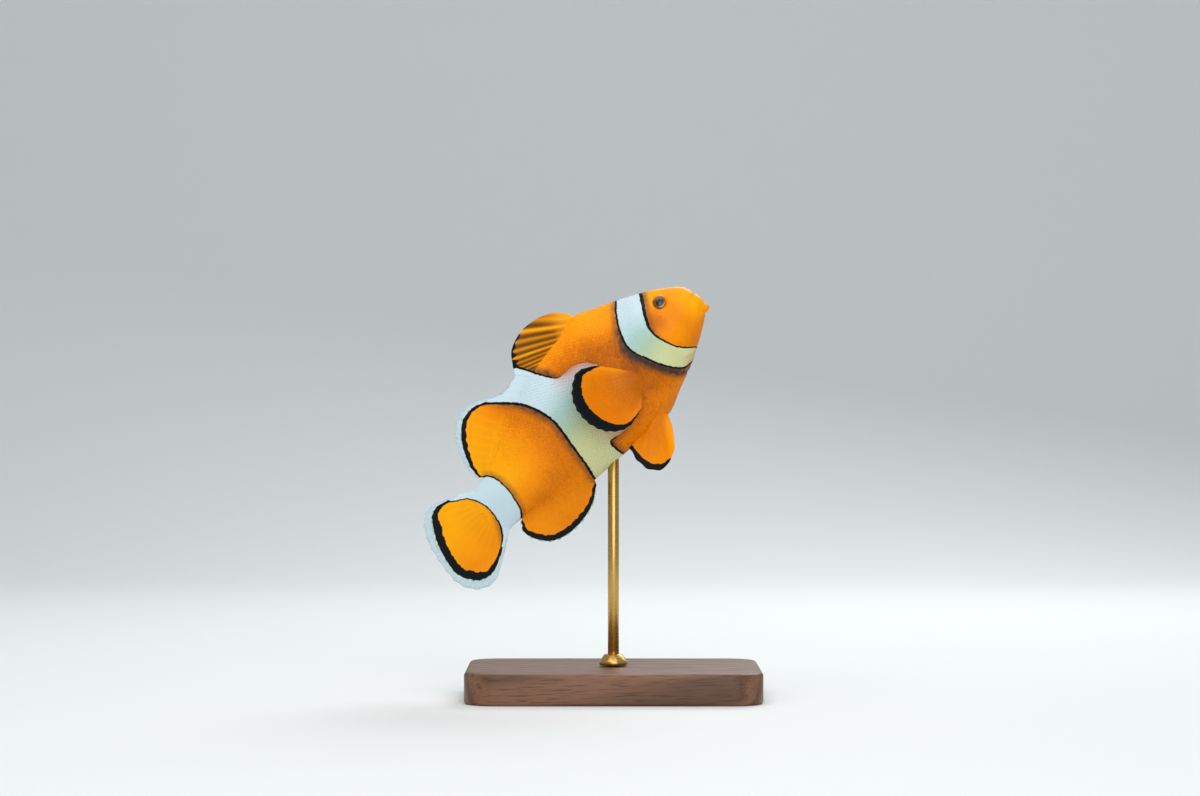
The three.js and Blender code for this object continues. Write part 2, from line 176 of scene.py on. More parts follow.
def addNode(tree, kind, inputs=None, out=0, stops=(), **settings):
    # one node, with its settings, its inputs and a colour ramp's stops. Gives back the output that is
    # asked for.
    node = tree.nodes.new("ShaderNode" + kind)
    for name, value in settings.items():
        setattr(node, name, value)
    feed(tree, node, inputs or {})
    for number, (position, colour) in enumerate(stops):
        elements = node.color_ramp.elements
        stop = elements[number] if number < 2 else elements.new(position)
        stop.position, stop.color = position, linear(colour)
    return node.outputs[out]


colourMix = {"data_type": "RGBA", "out": 2}  # makes a Mix node mix colours


def startFinish(name):
    # a new material, its node tree and its shader
    finish = bpy.data.materials.new(name)
    finish.use_nodes = True
    return finish, finish.node_tree, finish.node_tree.nodes["Principled BSDF"]


def turnedOut(points, faces):
    # the faces, turned round if the volume that they enclose comes out negative, and whether they were
    volume = 0.0
    for face in faces:
        first = points[face[:, 0]]
        for k in range(1, face.shape[1] - 1):
            second, third = points[face[:, k]], points[face[:, k + 1]]
            volume += np.einsum("ij,ij->i", first, np.cross(second, third)).sum()
    return faces if volume > 0 else [face[:, ::-1] for face in faces], volume <= 0


def makePiece(name, shells, finishes, nodes=()):
    # joins closed shells, each {points, faces, uvs, fields, finish, flat}, into one mesh that rides on
    # the root body. faces, uvs and finish are lists of arrays of equal-sized faces, and flat names the
    # arrays with flat faces.
    mesh = bpy.data.meshes.new(name)
    points = np.concatenate([shell["points"] for shell in shells])
    corners, sizes, uvs, finishOf, smooth = [], [], [], [], []
    start = 0
    for shell in shells:
        faces, turned = turnedOut(shell["points"], shell["faces"])
        for k, face in enumerate(faces):
            corners.append((face + start).ravel())
            sizes.append(np.full(len(face), face.shape[1]))
            smooth.append(np.full(len(face), k not in shell.get("flat", ())))
            finishOf.append(shell["finish"][k] if "finish" in shell else np.zeros(len(face), int))
            if "uvs" in shell:
                uv = shell["uvs"][k]
                uvs.append((uv[:, ::-1] if turned else uv).reshape(-1, 2))
        start += len(shell["points"])
    corners, sizes = np.concatenate(corners), np.concatenate(sizes)
    mesh.vertices.add(len(points))
    mesh.vertices.foreach_set("co", points.astype(np.float32).ravel())
    mesh.loops.add(len(corners))
    mesh.loops.foreach_set("vertex_index", corners.astype(np.int32))
    mesh.polygons.add(len(sizes))
    mesh.polygons.foreach_set("loop_start", (np.cumsum(sizes) - sizes).astype(np.int32))
    mesh.polygons.foreach_set("use_smooth", np.concatenate(smooth))
    mesh.polygons.foreach_set("material_index", np.concatenate(finishOf).astype(np.int32))
    if uvs:
        bake = mesh.uv_layers.new(name="OFBake")
        bake.data.foreach_set("uv", np.concatenate(uvs).astype(np.float32).ravel())
    for field in shells[0].get("fields", {}):
        values = np.concatenate([shell["fields"][field] for shell in shells]).astype(np.float32)
        mesh.attributes.new(field, "FLOAT_VECTOR", "POINT").data.foreach_set("vector", values.ravel())
    for finish in finishes:
        mesh.materials.append(finish)
    mesh.update(calc_edges=True)
    mesh.validate()
    piece = bpy.data.objects.new(name, mesh)
    scene.collection.objects.link(piece)
    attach(piece, "root")
    if nodes:
        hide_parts(*nodes)
    print(f"{name}: {int((sizes - 2).sum())} triangles")


def gridFaces(numbers):
    # the squares of a grid of point numbers
    parts = [numbers[:-1, :-1], numbers[:-1, 1:], numbers[1:, 1:], numbers[1:, :-1]]
    return np.stack(parts, -1).reshape(-1, 4)


def gridCorners(values):
    # the same squares' corner values, for a grid of pairs
    parts = [values[:-1, :-1], values[:-1, 1:], values[1:, 1:], values[1:, :-1]]
    return np.stack(parts, 2).reshape(-1, 4, 2)


def aroundGrid(numbers):
    # the point numbers round a grid's edge
    return np.concatenate([numbers[0, :], numbers[1:, -1], numbers[-1, -2::-1], numbers[-2:0:-1, 0]])


def tubeFaces(rings, around):
    # the faces of closed rings of points joined in order, with a fan to a pole over the first ring and
    # over the last. The two poles' numbers follow the rings'.
    numbers = np.arange(rings * around).reshape(rings, around)
    wrapped = np.concatenate([numbers, numbers[:, :1]], 1)
    first = np.stack([np.full(around, rings * around), wrapped[0, 1:], wrapped[0, :-1]], -1)
    last = np.stack([np.full(around, rings * around + 1), wrapped[-1, :-1], wrapped[-1, 1:]], -1)
    return [gridFaces(wrapped), first, last]


# The unwrap that skin and scales share: the body's skin is one chart, and each fin has one for either
# side.
unwrap = {
    "sheet": 126.0,  # mm across, which is 1 in the map
    "patch": 0.003,  # of a scale
    "body": (1.0, 1.0, 92.0, 80.0),  # left, bottom, width and height of each chart in mm
    "caudal": [(1.0, 83.0, 22.0, 20.0), (24.0, 83.0, 22.0, 20.0)],
    "pectoralRight": [(47.0, 83.0, 17.0, 18.0), (65.0, 83.0, 17.0, 18.0)],
    "pectoralLeft": [(83.0, 83.0, 17.0, 18.0), (101.0, 83.0, 17.0, 18.0)],
    "softDorsal": [(1.0, 104.0, 30.0, 10.0), (32.0, 104.0, 30.0, 10.0)],
    "anal": [(63.0, 104.0, 26.0, 10.0), (90.0, 104.0, 26.0, 10.0)],
    "spinyDorsal": [(1.0, 115.0, 22.0, 10.0), (24.0, 115.0, 22.0, 10.0)],
    "pelvicRight": [(47.0, 115.0, 12.0, 10.0), (60.0, 115.0, 12.0, 10.0)],
    "pelvicLeft": [(73.0, 115.0, 12.0, 10.0), (86.0, 115.0, 12.0, 10.0)],
}


def chartPlace(chart, x, y):
    # a share of the chart's width and height as a place on the map
    left, bottom, width, height = chart
    return np.stack(np.broadcast_arrays(left + width * x, bottom + height * y), -1) / unwrap["sheet"]


# The body's form.
bodyForm = {
    # stations: s, top, bottom, half width, and how far the back and the belly narrow to their ridges, so
    # that they run on into the fins. The first two taper the tail's root into its fin.
    "stations": [
        (12.6, 6.6, -2.7, 0.05, 0.2, 0.1), (15.0, 7.2, -3.3, 0.36, 0.2, 0.1),
        (17.0, 7.7, -3.8, 0.75, 0.2, 0.1), (22.5, 8.7, -4.3, 2.1, 0.25, 0.15),
        (30.0, 13.0, -7.8, 3.7, 0.36, 0.4), (38.0, 16.3, -9.6, 5.1, 0.3, 0.36),
        (46.0, 18.2, -10.2, 6.3, 0.22, 0.1), (55.0, 19.5, -10.8, 7.1, 0.2, 0.04),
        (61.5, 19.8, -11.2, 7.2, 0.2, 0.04), (68.0, 17.2, -9.0, 7.0, 0.2, 0.04),
        (74.0, 14.2, -6.7, 6.2, 0.2, 0.04), (79.0, 11.4, -4.2, 5.1, 0.2, 0.04),
        (82.5, 8.8, -2.15, 4.1, 0.2, 0.04), (83.6, 7.9, -1.45, 3.55, 0.2, 0.04),
        (84.4, 7.0, -0.95, 3.1, 0.2, 0.04), (85.2, 5.3, -0.8, 2.4, 0.2, 0.04),
        (85.5, 3.3, -0.5, 1.5, 0.2, 0.04), (85.55, 1.2, 1.0, 0.0, 0.2, 0.04),
    ],
    "widestAt": 0.47,  # height of the greatest width, as a share of the section
    "inset": 0.1,  # the scales' depth, by which the skin lies inside the solids
    "snoutInset": 0.03,
    "around": 144,  # points round a ring
    "flankCrowding": 0.15,  # draws them towards the flanks, which are the long sides of the oval
    # s, and mm between rings
    "spacing": [(12, 0.4), (62, 0.36), (66, 0.24), (79, 0.2), (82.5, 0.13), (86, 0.1)],
}
stationRows = np.array(bodyForm["stations"])
stationAt = np.concatenate([[0], np.cumsum(np.linalg.norm(np.diff(stationRows[:, :4], axis=0), axis=1))])
bodyLength = stationAt[-1]
bodyCurves = [smoothThrough(stationAt, stationRows[:, k]) for k in range(6)]
spineAt = np.linspace(0, bodyLength, 3000)
spineAt = np.stack([spineAt, bodyCurves[0](spineAt)])
print(f"body: {len(stationRows)} stations over {bodyLength:.1f} mm")

# Forms of the head, in mm. Each ridge and groove is a height or depth, the place of its middle, and a
# half width.
headForm = {
    "mouthFront": (87.5, 1.85), "mouthCorner": (82.2, -0.35),  # s and h of the ends of the lips' cleft
    # lips and the grooves beside them: height over the cleft, half width, rise, and where they start
    # along it
    "lips": [
        (1.4, 1.25, 0.22, -0.6), (-1.25, 0.95, 0.24, -0.6), (2.88, 0.38, -0.42, 2.2), (-2.5, 0.5, -0.12, 0.6),
    ],
    "lipRun": 2.2,  # over which they reach their rise
    "lipSpread": (-0.6, 2.4),  # where along the cleft they part
    "cleft": (0.11, 0.13),  # half width and depth
    "cleftStart": (-0.5, 0.8),
    "chinFold": (0.24, 83.95, 0.45),  # behind the lower lip
    "chinFoldTop": (0.6, -0.6),
    "gillLine": [  # h and s of the gill cover's rear edge
        (-10, 73.6), (-6, 71.3), (-3.5, 69.1), (1, 66.4), (4.5, 65.7), (9, 67.1), (13, 69.7), (18, 71.6),
    ],
    "gillRaise": (0.14, -0.02, 0.2, 3),  # height, where ahead of the line it comes, and how far it runs out
    "gillDrop": (0.2, -0.14, 0.04, 1.3),
    "gillEnds": (-8.2, -6.4, 10.5, 12.5),
    "cheekLine": [(-6, 77.2), (-3.5, 75.9), (0, 74.1), (3.3, 73.1), (6, 73.1), (9.5, 74.6)],  # h and s
    "cheekRidge": (0.07, 0.35, 0.7), "cheekGroove": (0.1, -0.45, 0.4),
    "cheekEnds": (-6, -3, 8.5, 11),
    "eye": (78.3, 7.95),
    "orbitRim": (0.1, 1.95, 0.4),
    "orbitBowl": (0.5, 1.3, 1.82),  # depth, and radii of its floor and its edge
    "eyeFold": (0.09, 3.05, 0.55), "eyeCrease": (0.09, 2.5, 0.35),  # behind the eye
    "nostril": (81.6, 6.5),
    "nostrilRim": (0.04, 0.3, 0.16), "nostrilPit": (0.16, 0, 0.17),
}
gillLine = smoothThrough(*zip(*headForm["gillLine"]))
cheekLine = smoothThrough(*zip(*headForm["cheekLine"]))


def headRelief(s, h):
    # how far the skin stands out: half-round lips beside a narrow cleft, a fold under the chin, a step at
    # the gill cover, a low rim behind the cheek, a rim and a bowl at the eye, and pits for nostrils
    cornerS, cornerH = headForm["mouthCorner"]
    cleft = np.array(headForm["mouthFront"]) - headForm["mouthCorner"]
    cleft = cleft / np.linalg.norm(cleft)
    forward = (s - cornerS) * cleft[0] + (h - cornerH) * cleft[1]
    height = (h - cornerH) * cleft[0] - (s - cornerS) * cleft[1]
    spread = 0.4 + 0.6 * smoothstep(*headForm["lipSpread"], forward)
    rise = sum(
        amount * hump(height, above * spread, half) * smoothstep(start, start + headForm["lipRun"], forward)
        for above, half, amount, start in headForm["lips"]
    )
    cleftHalf, cleftDepth = headForm["cleft"]
    narrow = np.exp(-(height / cleftHalf) ** 2)
    rise = rise - cleftDepth * narrow * smoothstep(*headForm["cleftStart"], forward)
    rise = rise - ridge(s, headForm["chinFold"]) * smoothstep(*headForm["chinFoldTop"], h)

    slope = (gillLine(h + 0.1) - gillLine(h - 0.1)) / 0.2
    ahead = (s - gillLine(h)) / np.sqrt(1 + slope**2)
    up, low, high, run = headForm["gillRaise"]
    raised = up * smoothstep(low, high, ahead) * np.exp(-np.maximum(ahead, 0) / run)
    down, low, high, run = headForm["gillDrop"]
    dropped = down * (1 - smoothstep(low, high, ahead)) * np.exp(np.minimum(ahead, 0) / run)
    rise = rise + within(h, headForm["gillEnds"]) * (raised - dropped)

    ahead = (s - cheekLine(h)) * 0.9  # about square to the line
    cheek = ridge(ahead, headForm["cheekRidge"]) - ridge(ahead, headForm["cheekGroove"])
    rise = rise + within(h, headForm["cheekEnds"]) * cheek

    eyeS, eyeH = headForm["eye"]
    fromEye = np.hypot(s - eyeS, h - eyeH)
    rise = rise + ridge(fromEye, headForm["orbitRim"])
    depth, floorRadius, edgeRadius = headForm["orbitBowl"]
    rise = rise - depth * (1 - smoothstep(floorRadius, edgeRadius, fromEye))
    behindEye = smoothstep(0.2, 0.8, (eyeS - s) / np.maximum(fromEye, 0.1))
    fold = ridge(fromEye, headForm["eyeFold"]) - ridge(fromEye, headForm["eyeCrease"])
    rise = rise + behindEye * fold
    pit = np.hypot(s - headForm["nostril"][0], h - headForm["nostril"][1])
    return rise + ridge(pit, headForm["nostrilRim"]) - ridge(pit, headForm["nostrilPit"])


def bodyOval(along, angle):
    # an oval about the middle line: half width by its cosine, narrowed by the square of its sine, and the
    # back's or the belly's reach by its sine. The skin's inset is taken from its radius.
    s, top, bottom, half, backPinch, bellyPinch = (curve(along) for curve in bodyCurves)
    middle = bottom + (top - bottom) * bodyForm["widestAt"]
    across, up = np.cos(angle), np.sin(angle)
    reach = np.where(up > 0, top - middle, middle - bottom)
    pinch = np.where(up > 0, backPinch, bellyPinch)
    w, h = half * across * (1 - pinch * up * up), reach * up
    size = np.hypot(w, h)
    grown = np.maximum(0.02, size - bodyForm["inset"]) / np.maximum(size, 1e-6)
    s = s - bodyForm["snoutInset"] * smoothstep(82, 85.4, s)
    return np.stack(np.broadcast_arrays(s, middle + h * grown, w * grown), -1)


def bodySkin(along, angle, lift=0.0):
    # the oval, pushed along its own normal by the head's relief and by lift
    point = bodyOval(along, angle)
    step = 1e-3
    forward = bodyOval(along + step, angle) - bodyOval(along - step, angle)
    turn = bodyOval(along, angle + step) - bodyOval(along, angle - step)
    normal = np.cross(forward, turn)
    normal /= np.maximum(np.linalg.norm(normal, axis=-1, keepdims=True), 1e-12)
    rise = headRelief(point[..., 0], point[..., 1]) + lift
    return point + normal * rise[..., None]


def flankAngle(turn):
    # a share of the way round, from the belly, as an angle that moves slower along the flanks
    theta = -math.pi / 2 + 2 * math.pi * turn
    return theta - bodyForm["flankCrowding"] * np.sin(2 * theta)


# The white bands: closed outlines of (s, h, black line's width, blush, dusk outside the line), in mm. Blush
# is a pinkish painted shade in the white, mostly where the pectoral fin shades the middle band. Dusk is dark
# brown, partly pigment at the scales' edges and partly painted shade behind the gill cover.
bands = {
    "head": [
        (74.6, 17.5, 0.5, 0, 0.3), (71.8, 15.0, 0.5, 0, 0.5), (70.1, 13.3, 0.5, 0, 0.5),
        (68.3, 10.9, 0.45, 0, 0.6), (67.1, 8.6, 0.45, 0, 0.8), (66.35, 6.2, 0.45, 0, 1),
        (66.5, 3.9, 0.45, 0, 1), (67.4, 1.5, 0.45, 0, 1), (68.6, -1.4, 0.45, 0, 1),
        (70.1, -4.1, 0.45, 0, 1), (71.9, -6.0, 0.5, 0, 0.9), (74.2, -6.3, 0.25, 0.5, 0),
        (76.3, -5.7, 0.1, 0.6, 0), (76.9, -5.1, 0.3, 0.4, 0), (75.1, -3.4, 0.35, 0, 0),
        (73.6, -1.4, 0.35, 0, 0), (72.7, 0.9, 0.4, 0, 0), (72.1, 3.3, 0.5, 0, 0.3),
        (72.2, 5.6, 0.6, 0, 0.5), (73.3, 8.0, 0.7, 0, 0.5), (74.8, 10.35, 0.8, 0, 0.6),
        (76.35, 12.6, 0.85, 0, 0.6), (78.4, 15.6, 0.8, 0, 0.4),
    ],
    "middle": [
        (44.2, 23.0, 0.5, 0, 0), (45.2, 20.6, 0.6, 0, 0), (46.5, 18.1, 0.5, 0, 0.5),
        (47.7, 15.6, 0.45, 0, 0.7), (48.9, 13.6, 0.45, 0, 0.7), (50.2, 12.2, 0.2, 0.5, 0.4),
        (52.4, 12.0, 0.03, 1, 0.1), (54.4, 11.7, 0.0, 1, 0), (56.3, 10.9, 0.05, 1, 0),
        (57.9, 9.3, 0.05, 1, 0), (59.3, 6.2, 0.05, 1, 0), (59.8, 2.0, 0.05, 1, 0),
        (58.8, -2.0, 0.05, 1, 0), (57.0, -4.6, 0.05, 1, 0), (54.4, -6.7, 0.05, 1, 0.1),
        (51.2, -6.5, 0.12, 0.9, 0.3), (48.9, -5.9, 0.35, 0.5, 0.6), (47.9, -6.7, 0.55, 0.1, 0.7),
        (48.0, -9.0, 0.5, 0, 0.5), (48.2, -14.0, 0.5, 0, 0.3), (39.0, -14.0, 0.6, 0, 0),
        (40.2, -9.6, 0.6, 0, 0.5), (41.1, -6.1, 0.6, 0, 0.6), (41.7, -2.6, 0.6, 0, 0.6),
        (42.5, 2.1, 0.6, 0, 0.6), (43.0, 5.9, 0.6, 0, 0.6), (42.5, 9.2, 0.6, 0, 0.7),
        (41.3, 12.7, 0.65, 0, 0.7), (39.3, 15.6, 0.65, 0, 0.5), (37.0, 18.0, 0.6, 0, 0.3),
        (35.0, 20.2, 0.6, 0, 0), (34.4, 23.0, 0.6, 0, 0),
    ],
    "tail": [
        (19.6, 11.5, 0.4, 0, 0), (21.8, 8.9, 0.4, 0, 0.2), (23.3, 7.9, 0.4, 0, 0.4),
        (24.15, 6.0, 0.35, 0, 0.5), (24.35, 3.3, 0.35, 0, 0.5), (23.9, 0.35, 0.35, 0, 0.5),
        (23.0, -2.6, 0.4, 0, 0.4), (21.4, -4.2, 0.5, 0, 0), (20.6, -5.6, 0.6, 0, 0),
        (17.0, -6.8, 0.3, 0, 0), (14.2, -5.6, 0.3, 0, 0), (15.9, -4.3, 0.4, 0, 0.3),
        (17.5, -2.0, 0.4, 0, 0.4), (18.4, 1.5, 0.35, 0, 0.2), (18.2, 4.5, 0.3, 0, 0.1),
        (16.6, 7.7, 0.3, 0, 0), (13.4, 10.2, 0.3, 0, 0), (13.0, 12.5, 0.3, 0, 0),
    ],
}
bandReach = 6.0  # mm from an outline within which the distance matters
blushFade = 2.2  # mm over which the blush's painted shade dies away


def fromOutline(points, outline, inside):
    # signed distance of plane points to the outline, and the outline's other columns at the nearest
    # place: the nearest of its close-set points, then the share of the offset that lies across the
    # outline there
    distance = np.full(len(points), -bandReach)
    values = np.zeros((len(points), outline.shape[1] - 2))
    low, high = outline[:, :2].min(0) - bandReach, outline[:, :2].max(0) + bandReach
    near = np.flatnonzero(((points > low) & (points < high)).all(1))
    tangent = np.gradient(outline[:, :2], axis=0)
    tangent /= np.linalg.norm(tangent, axis=1, keepdims=True)
    for block in np.array_split(near, max(1, len(near) // 20000)):
        p = points[block]
        square = (p[:, :1] - outline[:, 0]) ** 2 + (p[:, 1:2] - outline[:, 1]) ** 2
        best = square.argmin(1)
        offset = p - outline[best, :2]
        across = inside * (tangent[best, 0] * offset[:, 1] - tangent[best, 1] * offset[:, 0])
        reach = np.sqrt(square[np.arange(len(p)), best])
        reach = np.where(reach < 0.6, np.abs(across), reach)
        distance[block] = np.where(across > 0, reach, -reach)
        values[block] = outline[best, 2:]
    return distance, values


def enclosed(curve):
    # 1 if the closed curve runs anticlockwise, so that its inside is on its left, or else -1
    x, y = curve[:, 0], curve[:, 1]
    return 1 if (x * np.roll(y, -1) - y * np.roll(x, -1)).sum() > 0 else -1


bandCurves = {}
for bandName, rows in bands.items():
    curve = evenly(splineThrough(rows, closed=True, perStep=20))(np.linspace(0, 1, 500))
    bandCurves[bandName] = (curve, enclosed(curve))


def bandFields(flat):
    # for plane points: distance into the nearest white band, its black line's width, blush, which is painted
    # shade in the white, and dusk beyond the line, which is partly painted shade
    shape = flat.shape[:-1]
    points = flat.reshape(-1, 2)
    distance = np.full(len(points), -bandReach)
    values = np.zeros((len(points), 3))
    for curve, inside in bandCurves.values():
        d, v = fromOutline(points, curve, inside)
        nearer = d > distance
        distance[nearer], values[nearer] = d[nearer], v[nearer]
    black, blushShade, dusk = values.T
    blushShade = blushShade * np.exp(-np.maximum(distance, 0) / blushFade)
    reach = -0.7 - 1.9 * dusk  # further where it is darker
    dusk = dusk * smoothstep(reach, -0.5 * dusk, distance + black)
    return [x.reshape(shape) for x in (distance, black, blushShade, dusk)]


def toneWithPaintedLight(s, h):
    # 0 deep orange to 1 amber, from three parts that run into each other, with light and shade painted in.
    # The rear body is deep in front and below, and amber above, painted light from above, and towards the
    # tail. The shoulder is deepest behind the gills, a painted shadow of the pectoral fin, and lighter up to
    # the nape and down to the belly, painted light against its shade. The head is amber on the forehead and
    # the snout, painted light from above, deeper behind the eye, and darker under the chin, painted shade.
    # painted light: lighter above, where light falls from above
    rear = 0.34 + 0.55 * smoothstep(40, 28, s) * smoothstep(-5, 5, h)
    rear = rear + 0.12 * smoothstep(30, 24, s) + 0.12 * smoothstep(-4, -7, h)
    rear = rear + 0.22 * smoothstep(20, 15, s) * smoothstep(3, -3, h)
    # painted shade behind the gills, where the pectoral fin's shadow falls, and painted light towards the
    # back and belly
    shoulder = 0.16 + 0.55 * smoothstep(9, 21, h) + 0.35 * smoothstep(58, 66, s) * smoothstep(7, 14, h)
    shoulder = shoulder + 0.25 * smoothstep(-3, -9, h) - 0.08 * hump(np.hypot(s - 64.5, h - 3), 0, 4)
    gillRimHighlight = hump(s - 65.6 - 0.79 * (h - 8.6), 0, 0.9) * hump(h, 8.6, 2.2)  # a painted highlight: a light streak along the gill cover's rim
    shoulder = shoulder + 0.45 * gillRimHighlight
    # painted light from above on the snout and forehead, and painted shade under the chin
    snout = smoothstep(79, 84, s) * smoothstep(-2, 1, h)
    head = 0.53 + np.maximum(0.37 * snout, 0.38 * smoothstep(7, 11, h))
    behindEye = hump(np.hypot((s - 74.4) / 3.4, (h - 5.6) / 4.2), 0, 1)
    head = head - 0.15 * smoothstep(0, -4, h) - 0.26 * behindEye
    tone = rear + (shoulder - rear) * smoothstep(42, 50, s)
    return tone + (head - tone) * smoothstep(69, 73, s)


def speckleAt(s, h):
    # how dark the scales' rear edges are: most along the rear body's back and on the shoulder, where they
    # show most
    rear = smoothstep(24, 30, s) * smoothstep(48, 44, s) * smoothstep(0, 8, h)
    shoulder = smoothstep(48, 54, s) * smoothstep(8, 13, h)
    return 0.35 + 0.65 * np.maximum(rear, 0.6 * shoulder)


def paintedWhiteLight(s, h):
    # in the white bands the tone is 0 cool along the back and tail, to 1 straw along the belly: mostly
    # painted light, a cool reflection above and shade with warm reflected light below
    return smoothstep(13, -4, h) * smoothstep(28, 36, s)


def bodyFields(points, jitter=0.0, toneJitter=0.0, edge=0.0):
    # marks = distance into white, black line's width, blush (painted shade); tints = dusk (partly painted
    # shade), tone (with painted light), share of the way down a scale; fin = ray, brown, clear, which are all
    # 0 on the body
    s, h = points[..., 0], points[..., 1]
    distance, black, blushShade, dusk = bandFields(points[..., :2])
    isWhite = distance + 0.5 * black > 0  # the change of tone hides under the black line
    tone = np.where(isWhite, paintedWhiteLight(s, h), toneWithPaintedLight(s, h) + toneJitter)
    marks = np.stack([distance + jitter, black, blushShade], -1)
    tints = np.stack([dusk, tone, edge * speckleAt(s, h)], -1)
    return {"marks": marks.reshape(-1, 3), "tints": tints.reshape(-1, 3), "fin": np.zeros((s.size, 3))}


def bodyShell():
    # rings of the skin, as far apart as the spacing says, closed by a pole at the tail and one at the
    # snout
    fine = np.linspace(0, bodyLength, 5000)
    gap = np.interp(bodyCurves[0](fine), *zip(*bodyForm["spacing"]))
    count = np.cumsum((fine[1] - fine[0]) / gap)
    along = np.interp(np.arange(1, int(count[-1])), count, fine)
    around = bodyForm["around"]
    points = bodySkin(along[:, None], flankAngle(np.arange(around) / around)[None, :])
    tail = [bodyOval(0.0, 0.0)[0], points[0, :, 1].mean(), 0]
    snout = [points[-1, :, 0].mean() + 0.01, points[-1, :, 1].mean(), 0]
    allPoints = np.concatenate([points.reshape(-1, 3), [tail, snout]])
    turns = np.arange(around + 1) / around
    uv = chartPlace(unwrap["body"], along[:, None] / bodyLength, turns[None, :])
    tailUv, snoutUv = (chartPlace(unwrap["body"], x, (turns[1:] + turns[:-1]) / 2) for x in (0.0, 1.0))
    return {
        "points": toWorld(allPoints),
        "faces": tubeFaces(len(along), around),
        "uvs": [
            gridCorners(uv),
            np.stack([tailUv, uv[0, 1:], uv[0, :-1]], 1),
            np.stack([snoutUv, uv[-1, :-1], uv[-1, 1:]], 1),
        ],
        "fields": bodyFields(allPoints),
    }


# The fins, in mm. roots and tips are (s, h) of where the rays leave the body and where they end. rays is
# their number, across and along the grid, ray how far rays stand out, and brown how dark it is between
# them. ripple is a wave's height and number. black and fringe give, along the edge from 0 to 1, the black
# margin's width and the clear edge's outside it. The two pectoral fins swing out from the flank, and the
# pelvic fins are splayed.
finCommon = {
    "under": 2.2,  # how far inside the body the fleshy base starts
    "fade": 4.0,  # how far out the flesh dies away
    "rounded": (0.1, 0.15),  # shares of the base that run out thin at its front and rear end
    "skin": 0.06, "rootSkin": 0.12,  # half thickness of the edge, and what the root has more
    "branch": 0.2,  # how far a ray's two ends part, as a share of the rays' spacing
    "scallop": 0.25,  # depth of the edge between two rays
    "lean": 0.0,  # how far the tips run ahead of the roots, as a share of the edge
    "fringe": [(0, 0.0), (1, 0.0)],
    "tone": 0.0,  # lighter than the body by this
}
